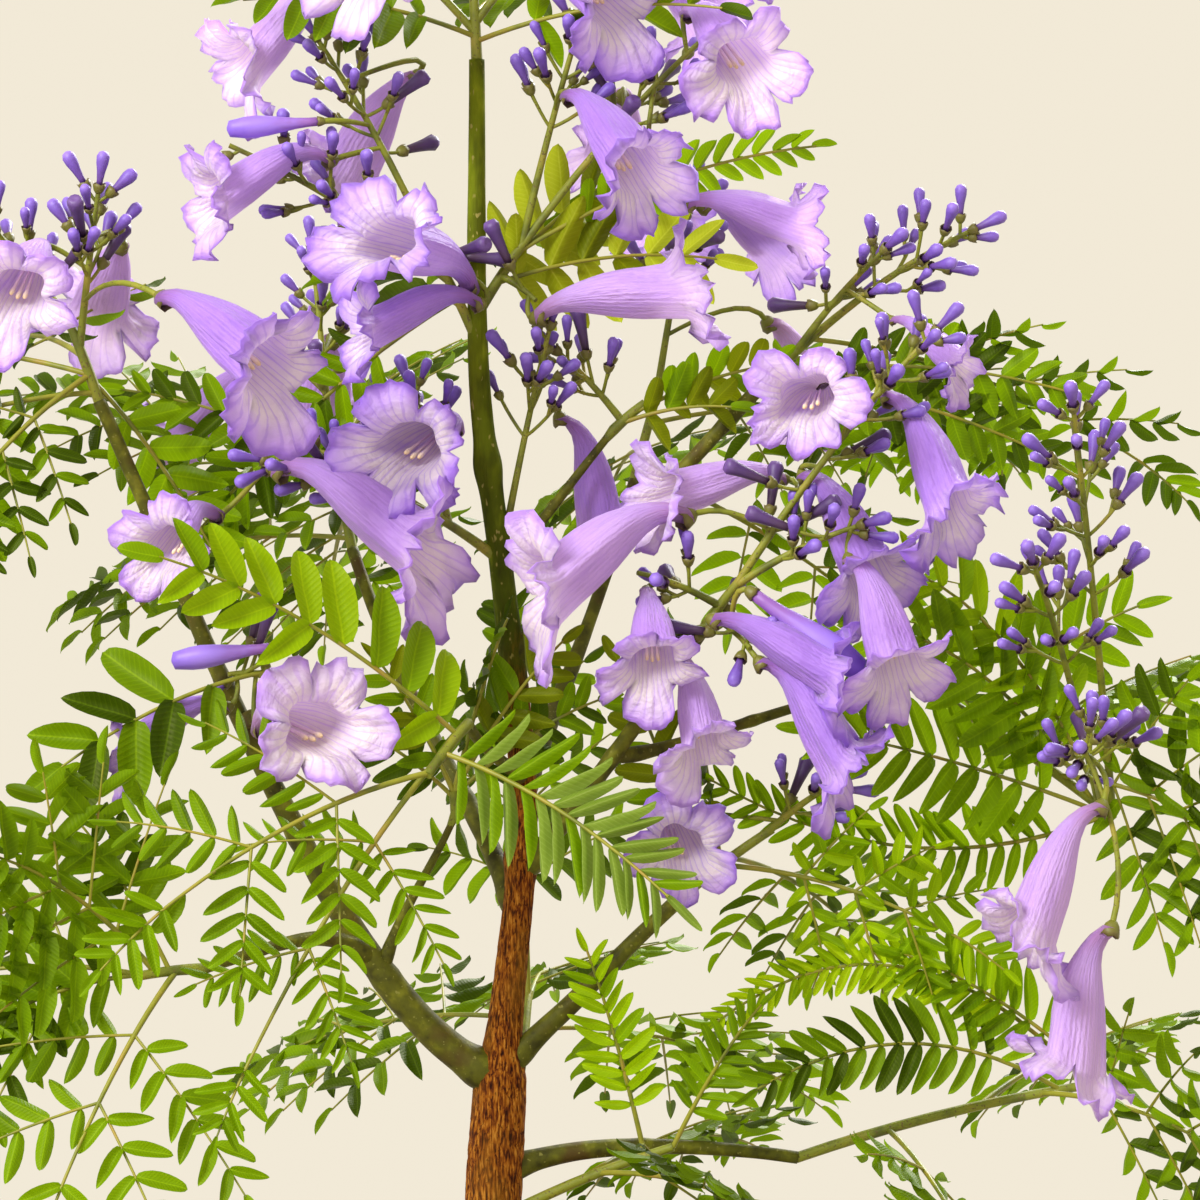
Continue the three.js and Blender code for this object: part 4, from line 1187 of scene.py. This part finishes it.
# %% Sweep tree
def sweep(name, sides, finish):
    data = bpy.data.curves.new(name + "_paths", "CURVE")
    data.dimensions = "3D"
    for steps in twigs[name]:
        spline = data.splines.new("POLY")
        spline.points.add(len(steps) - 1)
        for spot, (point, radius) in zip(spline.points, steps):
            spot.co = (*(point * MM), 1)
            spot.radius = radius
    carrier = add_object(name + "_paths", data)
    tree = Tree(name, Sides=sides, Unit=MM)
    ring = tree.node("GeometryNodeCurvePrimitiveCircle", {
        "Resolution": tree.start["Sides"], "Radius": tree.start["Unit"],
    })
    tube = tree.node("GeometryNodeCurveToMesh", {
        "Curve": tree.start["Geometry"], "Profile Curve": ring.outputs[0],
        "Scale": tree.node("GeometryNodeInputRadius").outputs[0], "Fill Caps": True,
    })
    settle(tree.bake(carrier, tube.outputs[0], finish), "foliage", *MASS_NODES)
    bpy.data.objects.remove(carrier)


# %% Stalk finishes
leaf_stalk = Finish("leaf_stalk", 0.5)
leaf_stalk.paint(leaf_stalk.tones(
    leaf_stalk.noise(130, 2), (0.3, 104, 112, 18), (0.55, 140, 138, 28), (0.75, 158, 134, 44),
))
flower_stalk = Finish("flower_stalk", 0.6)
stalk_tone = flower_stalk.tones(
    flower_stalk.noise(140, 3), (0.3, 86, 94, 10), (0.52, 124, 130, 20), (0.75, 152, 140, 40),
)
wart = flower_stalk.mask(flower_stalk.noise(1500, 1), 0.64, 0.7)
flower_stalk.paint(flower_stalk.mix(wart, stalk_tone, srgb(98, 84, 30)))
flower_stalk.bump(flower_stalk.noise(1400, 2), 0.3, 0.3 * MM)
sweep("leaf_stalks", 6, leaf_stalk)
sweep("flower_stalks", 8, flower_stalk)

# %% [markdown]
# ## Planting by points
# Leaflets, flowers, buds and cups all repeat, each with its own turn and size. One tree serves them all: it
# reads the way, the face and the size stored on each point, turns the shape to match and sets it there.
# Several shapes of one kind are dealt out by an index on the points.


# %% Planting tree
def plant(name, rows, shapes, finish):
    points = new_mesh(name + "_points", [row["at"] * MM for row in rows], [])
    for key in ("along", "face", "size"):
        layer = points.attributes.new(key, "FLOAT_VECTOR", "POINT")
        layer.data.foreach_set("vector", np.array([row[key] for row in rows], np.float32).ravel())
    layer = points.attributes.new("kind", "INT", "POINT")
    layer.data.foreach_set("value", np.arange(len(rows), dtype=np.int32) % len(shapes))
    carrier = add_object(name + "_points", points)
    tree = Tree(name, Unit=MM)
    deal = tree.node("GeometryNodeGeometryToInstance")
    for shape in shapes:
        tree.feed(deal.inputs[0], tree.shape(shape))
    turn = tree.node("FunctionNodeAxesToRotation", {
        "Primary Axis": tree.named("along"), "Secondary Axis": tree.named("face"),
    }, primary_axis="Y", secondary_axis="Z")
    scale = tree.node("ShaderNodeVectorMath", operation="SCALE")
    tree.feed(scale.inputs[0], tree.named("size"))
    tree.feed(scale.inputs["Scale"], tree.start["Unit"])
    put = tree.node("GeometryNodeInstanceOnPoints", {
        "Points": tree.start["Geometry"], "Pick Instance": True, "Instance": deal.outputs[0],
        "Instance Index": tree.named("kind", "INT"), "Rotation": turn.outputs[0], "Scale": scale.outputs[0],
    })
    settle(tree.bake(carrier, put.outputs[0], finish), "foliage", *MASS_NODES)
    bpy.data.objects.remove(carrier)


def shape_object(name, points, faces, chart):
    """A shape to plant, with a UV map of its own: chart gives each point's place on it."""
    mesh = new_mesh(name, points, faces)
    layer = mesh.uv_layers.new(name="OFBake")
    for face in mesh.polygons:
        spots = [chart[v] for v in face.vertices]
        wraps = max(u for u, _ in spots) - min(u for u, _ in spots) > 0.5
        for loop, (u, v) in zip(face.loop_indices, spots):
            layer.data[loop].uv = (u + 1 if wraps and u < 0.5 else u, v)
    return add_object(name, mesh)


# %% [markdown]
# ## Leaflets
# A leaflet is a slim pointed oval, folded a little along its midrib and arched. A grid of a few dozen faces
# in that outline is enough. Three shapes, curved to either side, keep rows from looking stamped.

# %% Leaflet shapes
LEAFLET_ROWS = (0, 0.05, 0.15, 0.3, 0.46, 0.62, 0.77, 0.89, 0.96, 1)
LEAFLET_COLUMNS = (-1, -0.5, 0, 0.5, 1)


def leaflet_shape(name, sway, fold, sag, blunt):
    points, chart = [], []
    for v in LEAFLET_ROWS:
        half = 0.5 * v ** 0.45 * (1 - v) ** blunt * 1.8
        for c in LEAFLET_COLUMNS:
            lift = fold * abs(c) * half - sag * v * v + 0.02 * math.sin(9 * v + 2 * c)
            points.append((c * half + sway * v * v, v, lift))
            chart.append((0.5 + 0.48 * c * max(half, 0.02), 0.01 + 0.98 * v))
    width = len(LEAFLET_COLUMNS)
    corners = [k * width + i for k in range(len(LEAFLET_ROWS) - 1) for i in range(width - 1)]
    faces = [(a, a + 1, a + width + 1, a + width) for a in corners]
    return shape_object(name, points, faces, chart)


leaflet_shapes = [
    leaflet_shape("leaflet_straight", 0.0, 0.34, 0.07, 0.56),
    leaflet_shape("leaflet_left", 0.10, 0.26, 0.12, 0.48),
    leaflet_shape("leaflet_right", -0.10, 0.42, 0.03, 0.68),
]

# %% [markdown]
# Leaf green is never one colour: a pale midrib, faint side veins, a lighter margin. The pattern runs on the
# leaflet's own UV map. Some light comes through, so a translucent shader is mixed with the glossy one. Each
# tint is a finish. Two tints are painted light and shade: a lighter green stands for leaflets lit from
# behind, and the darker deep green stands for leaflets in shade.


# %% Leaf finishes
class ChartFinish(Finish):
    """A finish for planted shapes: patterns on their own UV map, and light that comes through."""

    def __init__(self, name):
        super().__init__(name, 0.5)
        self.spot = self.node("ShaderNodeUVMap", uv_map="OFBake").outputs[0]
        split = self.node("ShaderNodeSeparateXYZ", {0: self.spot})
        self.x, self.y = split.outputs["X"], split.outputs["Y"]

    def glow(self, share, color):
        """Lets a share of the light through, in a colour."""
        through_light = self.node("ShaderNodeBsdfTranslucent", {"Color": color})
        both = self.node("ShaderNodeMixShader", {
            0: share, 1: self.shader.outputs[0], 2: through_light.outputs[0],
        })
        self.feed(self.tree.nodes["Material Output"].inputs["Surface"], both.outputs[0])


def leaf_finish(name, body, edge, glow, through_share):
    finish = ChartFinish(name)
    finish.set("Specular IOR Level", 0.3)
    finish.set("Specular Tint", (1, 1, 0.35, 1))
    across = finish.math("ABSOLUTE", finish.math("SUBTRACT", finish.x, 0.5))
    tone = finish.tones(across, (0, *body), (0.42, *edge))
    slant = finish.math("MULTIPLY", across, -60)
    veins = finish.math("SINE", finish.math("MULTIPLY_ADD", finish.y, 88, slant))
    rib = finish.mask(across, 0.004, 0.02, 0, 0.5)
    for lines in (finish.mask(veins, 0.55, 1, 0.2), rib):
        tone = finish.mix(lines, tone, srgb(*glow))
    finish.paint(tone)
    finish.bump(finish.math("ADD", veins, finish.math("MULTIPLY", rib, -3)), 0.12, 0.3 * MM)
    finish.glow(through_share, finish.mix(0.55, tone, srgb(*glow)))
    return finish


# A row has the near tint for stray leaflets, the colours of body, edge and glow, and the share let through.
LEAF_TINTS = {
    "young": ("bright", (158, 190, 6), (174, 202, 14), (202, 224, 24), 0.42),
    # Painted light: this tint is a lighter copy of the fresh green that stands for leaflets lit from behind.
    "bright": ("fresh", (128, 162, 2), (146, 176, 6), (178, 208, 12), 0.42),
    "fresh": ("leaf", (104, 138, 1), (122, 154, 4), (156, 192, 8), 0.38),
    "leaf": ("deep", (88, 120, 1), (106, 136, 2), (142, 174, 5), 0.34),
    "sage": ("fresh", (116, 142, 40), (130, 152, 60), (164, 186, 92), 0.4),
    "pale": ("olive", (146, 156, 8), (160, 168, 22), (186, 194, 56), 0.4),
    # Painted shade: this tint is a darker copy of the leaf green that stands for leaflets in shade. Strays
    # of the leaf tint take it too.
    "deep": ("leaf", (46, 66, 1), (60, 82, 3), (92, 120, 6), 0.28),
    "olive": ("leaf", (94, 106, 2), (110, 120, 5), (140, 148, 10), 0.3),
}
STRAY_SHARE, STRAY_SEED = 0.3, 77
deal = np.random.default_rng(STRAY_SEED)
for leaflet in leaflets:
    if deal.uniform() < STRAY_SHARE:
        leaflet["tint"] = LEAF_TINTS[leaflet["tint"]][0]
for tint, (_, *look) in LEAF_TINTS.items():
    finish = leaf_finish("green_leaf" if tint == "leaf" else tint + "_leaf", *look)
    plant("leaflets_" + tint, [row for row in leaflets if row["tint"] == tint], leaflet_shapes, finish)


# %% [markdown]
# ## Flowers
# A jacaranda flower is a narrow tube that swells into a flattened trumpet and ends in five crimped lobes:
# two that fold back above and three that reach out below. It could be sculpted, but a grid swept round an
# axis gives every part by rule: the tube from a radius, each lobe from its length, its curl and a ripple.
# An inner wall follows it.

# %% Flower shape
FLOWER_AROUND = 70
TUBE_STEPS = 12
LOBE_STEPS = 8
TUBE_LENGTH = 28.5
TUBE_RADIUS = (
    (0, 1.9), (0.12, 2.1), (0.22, 2.6), (0.36, 3.8), (0.52, 5.1), (0.7, 5.9), (0.86, 6.1), (1, 6.5),
)
LOBES = 5
LOBE_REACH = (11, 10, 8.5, 8.5, 10)
LOBE_CURL = (60, 78, 118, 118, 78)
LOBE_START = math.radians(18)
PETAL_THICKNESS = 0.25
FORWARD = np.array([0, 1.0, 0])


def flower_wall(seed, curl, ripple, neck):
    """Rings of points up the tube and then out along the five lobes."""
    draw = np.random.default_rng(seed)
    lobe_length = np.array(LOBE_REACH) * draw.uniform(0.8, 1.2, LOBES)
    lobe_curl = np.radians(np.array(LOBE_CURL) * curl + draw.uniform(-24, 24, LOBES))
    lobe_twist = np.radians(draw.uniform(-34, 34, LOBES))
    lobe_groove = draw.uniform(-2.0, 1.2, LOBES)
    away = Vector((seed * 7.1, seed * 3.3, 0))
    wall = np.zeros((TUBE_STEPS + LOBE_STEPS, FLOWER_AROUND, 3))
    for i in range(FLOWER_AROUND):
        a = 2 * math.pi * i / FLOWER_AROUND
        out = np.array([math.sin(a), 0, -math.cos(a)])
        round_it = Vector((out[0], out[2], 0))
        for k in range(TUBE_STEPS):
            t = k / (TUBE_STEPS - 1)
            crease = noise.noise(round_it * 1.6 + Vector((0, 0, t * 1.5)) + away)
            swell = 1 + t * (0.05 * math.cos(LOBES * a) + 0.2 * crease)
            radius = np.interp(t, *zip(*TUBE_RADIUS)) * swell
            lift = neck * (1 - math.exp(-6 * t)) * (1 - t)
            wall[k, i] = out * radius * np.array([1.08, 1, 0.86])
            wall[k, i] += (0, TUBE_LENGTH * t + 1.6 * t * t * math.cos(a), lift)
        lobe = int((a + math.pi / LOBES) // (2 * math.pi / LOBES)) % LOBES
        off = (a - lobe * 2 * math.pi / LOBES + math.pi) % (2 * math.pi) - math.pi
        off /= math.pi / LOBES
        share = 1 - min(1, abs(off)) ** 4
        ragged = 1 + 0.16 * noise.noise(round_it * 5 + away) + 0.12 * noise.noise(round_it * 11 + away)
        reach = lobe_length[lobe] * (0.3 + 0.7 * share ** 0.6) * ragged
        turn = lobe_curl[lobe] - LOBE_START + 0.3 * off * off + lobe_twist[lobe] * off
        spot = wall[TUBE_STEPS - 1, i].copy()
        for k in range(1, LOBE_STEPS + 1):
            s = k / LOBE_STEPS
            bend = LOBE_START + turn * s ** 0.8
            spot = spot + (math.cos(bend) * FORWARD + math.sin(bend) * out) * reach / LOBE_STEPS
            lean = math.sin(bend) * FORWARD - math.cos(bend) * out
            deep = Vector((0, 0, s))
            wave = 2.6 * noise.noise(round_it * 2.4 + deep + away)
            wave += 2.4 * s * noise.noise(round_it * 5 + 1.5 * deep - away)
            wave += 1.7 * s * s * noise.noise(round_it * 9.5 + 2 * deep + away)
            groove = lobe_groove[lobe] * math.cos(off * math.pi / 2) * math.sin(2.4 * s)
            wall[TUBE_STEPS - 1 + k, i] = spot + lean * (ripple * s ** 1.1 * wave + groove)
    return wall


def flower_shape(name, *form):
    outer = flower_wall(*form)
    normal = np.cross(np.gradient(outer, axis=0), np.roll(outer, -1, axis=1) - np.roll(outer, 1, axis=1))
    normal /= np.maximum(1e-9, np.linalg.norm(normal, axis=2, keepdims=True))
    if np.sum(normal[4] * (outer[4] - outer[4].mean(axis=0))) < 0:
        normal = -normal
    inner = outer - PETAL_THICKNESS * normal
    inner[0] = outer[0] * np.array([0.8, 1, 0.8]) + 0.5 * FORWARD
    rows, n = outer.shape[:2]
    inside, edge = rows * n, (rows - 1) * n
    heights = [0.5 * k / (rows - 1) for k in range(rows)]
    heights += [1 - height for height in heights]
    chart = [(i / n, height) for height in heights for i in range(n)]
    faces = [quad[::-1] for quad in bands(rows, n)] + bands(rows, n, inside) + band(inside + edge, edge, n)
    faces += [range(n), range(inside + n - 1, inside - 1, -1)]
    return shape_object(name, [*outer.reshape(-1, 3), *inner.reshape(-1, 3)], faces, chart)


flower_shapes = [
    flower_shape("flower_a", 1, 1.0, 1.0, 6.2),
    flower_shape("flower_b", 2, 0.85, 1.25, 4.6),
    flower_shape("flower_c", 3, 1.1, 1.1, 7.0),
    flower_shape("flower_d", 4, 0.9, 1.4, 5.4),
    flower_shape("flower_e", 5, 1.05, 1.2, 3.8),
]

# %% [markdown]
# The colour runs along the flower: rosy at the foot, violet on the tube, paler and bluer on the lobes with
# a deeper crimped edge, then white inside the throat with faint lines. The UV map's height carries that
# order, outside first and then back down the inside, so one ramp paints the whole flower.

# %% Petal finishes
VEINS_AROUND = 32
MILK = (252, 244, 240)


def flat_noise(finish, stretch, detail=2):
    """Noise on a shape's own UV map."""
    spot = finish.node("ShaderNodeMapping", {"Vector": finish.spot, "Scale": stretch}).outputs[0]
    inputs = {"Vector": spot, "Scale": 1, "Detail": detail}
    return finish.node("ShaderNodeTexNoise", inputs, noise_dimensions="2D").outputs[0]


def petal_finish(name, foot, tube, lobe, edge, inside):
    finish = ChartFinish(name)
    finish.set("Sheen Weight", 0.25)
    stray = flat_noise(finish, (26, 5, 1))
    height = finish.math("MULTIPLY_ADD", finish.math("SUBTRACT", stray, 0.5), 0.06, finish.y)
    tone = finish.tones(
        height, (0, *foot), (0.07, *tube), (0.27, *tube), (0.36, *lobe), (0.465, *lobe), (0.49, *edge),
        (0.508, *edge), (0.535, *lobe), (0.58, *inside), (0.64, *MILK), (1, *MILK), ease="LINEAR",
    )
    drift = finish.math("MULTIPLY", stray, 7)
    lines = finish.math("SINE", finish.math("MULTIPLY_ADD", finish.x, 2 * math.pi * VEINS_AROUND, drift))
    blush = finish.mask(flat_noise(finish, (7, 7, 1)), 0.45, 0.75, 0.45)
    for share in (blush, finish.mask(lines, 0.55, 1, 0.42)):
        tone = finish.mix(share, tone, srgb(*edge))
    finish.paint(tone)
    crinkle = flat_noise(finish, (34, 42, 1), 3)
    finish.bump(finish.math("MULTIPLY_ADD", lines, -0.12, crinkle), 0.55, 1.2 * MM)
    finish.glow(0.5, finish.mix(0.45, tone, srgb(*MILK)))
    return finish


# Each shade has the colours of its foot, tube, lobes, edge and inside.
PETALS = {
    "lilac": ((202, 138, 206), (220, 183, 255), (235, 210, 255), (200, 154, 246), (246, 232, 255)),
    "violet": ((190, 120, 204), (208, 165, 254), (227, 194, 255), (188, 136, 242), (241, 221, 255)),
    "deep": ((170, 98, 196), (192, 143, 250), (215, 176, 255), (168, 116, 234), (234, 209, 255)),
}
for order, (shade, colors) in enumerate(PETALS.items()):
    rows = [row for i, row in enumerate(blooms) if (i * 2 + i // 3) % 3 == order]
    plant(shade + "_flowers", rows, flower_shapes, petal_finish(shade + "_petal", *colors))


# %% [markdown]
# ## Buds and cups
# Unopened flowers are blunt violet clubs, and every flower and bud sits in a small toothed cup on its
# stalk. They are turned shapes: a profile swept round an axis, with the cup's rim cut into five teeth.

# %% Turned shapes
CUP_TEETH = 5


def turned_shape(name, profile, sides, teeth=0.0):
    points, chart = [], []
    rim = (len(profile) // 2 - 1, len(profile) // 2)
    for k, (radius, along) in enumerate(profile):
        for i in range(sides):
            a = 2 * math.pi * i / sides
            notch = teeth * math.cos(CUP_TEETH * a) if k in rim else 0
            points.append((radius * math.cos(a), along + notch, radius * math.sin(a)))
            chart.append((i / sides, k / (len(profile) - 1)))
    faces = [quad[::-1] for quad in bands(len(profile), sides)]
    faces += [range(sides), range(len(points) - 1, len(points) - sides - 1, -1)]
    return shape_object(name, points, faces, chart)


bud_shapes = [
    turned_shape("bud_a", (
        (0.7, 0), (0.8, 1.2), (1.15, 2.8), (1.5, 4.4), (1.45, 5.6), (0.9, 6.4), (0.25, 6.6),
    ), 8),
    turned_shape("bud_b", (
        (0.7, 0), (0.75, 1.5), (1.0, 3.4), (1.4, 5.2), (1.5, 6.6), (1.0, 7.5), (0.25, 7.8),
    ), 8),
]
cup_shapes = [turned_shape("cup", (
    (0.55, -0.6), (1.05, 0.0), (1.35, 0.9), (1.48, 1.7), (1.38, 1.65), (1.3, 0.9), (1.0, 0.2), (0.3, 0.0),
), 10, 0.18)]
tube_shapes = [turned_shape("closed_tube", (
    (1.7, 0), (1.8, 5), (2.2, 10), (3.0, 15), (3.9, 21), (4.4, 26), (4.2, 30), (3.6, 33.5), (3.2, 36),
    (0.6, 37),
), 16)]
husk_shapes = [turned_shape("husk", (
    (0.8, 0), (1.0, 2.5), (1.2, 5), (1.5, 7.5), (1.9, 9.5), (1.3, 10.6), (0.5, 10.2),
), 9)]
stamen_shapes = [turned_shape("stamen", (
    (0.25, 0), (0.35, 7), (0.4, 10.4), (0.6, 11.4), (0.45, 12.6), (0.1, 13),
), 6)]

# %% Bud and cup finishes
STAMENS = ((-0.16, 1.0), (0.16, 1.0), (0.0, 0.5))
STAMEN_FOOT = 13


def club_finish(name, low, middle, high):
    finish = ChartFinish(name)
    wavy = flat_noise(finish, (7, 7, 1))
    height = finish.math("MULTIPLY_ADD", finish.math("SUBTRACT", wavy, 0.5), 0.3, finish.y)
    finish.paint(finish.tones(height, (0.05, *low), (0.5, *middle), (0.95, *high)))
    finish.bump(wavy, 0.2, 0.4 * MM)
    return finish


stamens = []
for bloom in blooms:
    size, along = bloom["size"][0], bloom["along"]
    across = unit(np.cross(along, bloom["face"]))
    over = np.cross(across, along)
    for lean, rise in STAMENS:
        foot = bloom["at"] + size * (along * STAMEN_FOOT + over * rise + across * lean * 6)
        way = unit(along + across * lean * 0.3 - over * 0.22)
        stamens.append(planted(foot, way, bloom["face"], size))
for piece, rows, shapes, finish, *colors in (
    ("flower_buds", buds, bud_shapes, "bud_violet", (96, 62, 136), (114, 82, 176), (142, 110, 208)),
    ("flower_cups", cups, cup_shapes, "cup_olive", (112, 112, 32), (102, 90, 42), (92, 60, 98)),
    ("closed_flowers", closed_blooms, tube_shapes, "tube_violet",
     (140, 92, 168), (150, 116, 214), (128, 94, 204)),
    ("withered_tubes", husks, husk_shapes, "husk_purple", (66, 40, 66), (78, 50, 104), (108, 76, 140)),
    ("flower_stamens", stamens, stamen_shapes, "stamen_cream",
     (236, 214, 226), (240, 222, 206), (226, 196, 150)),
):
    plant(piece, rows, shapes, club_finish(finish, *colors))
turned = bud_shapes + cup_shapes + tube_shapes + husk_shapes + stamen_shapes
for shape in leaflet_shapes + flower_shapes + turned:
    bpy.data.objects.remove(shape)
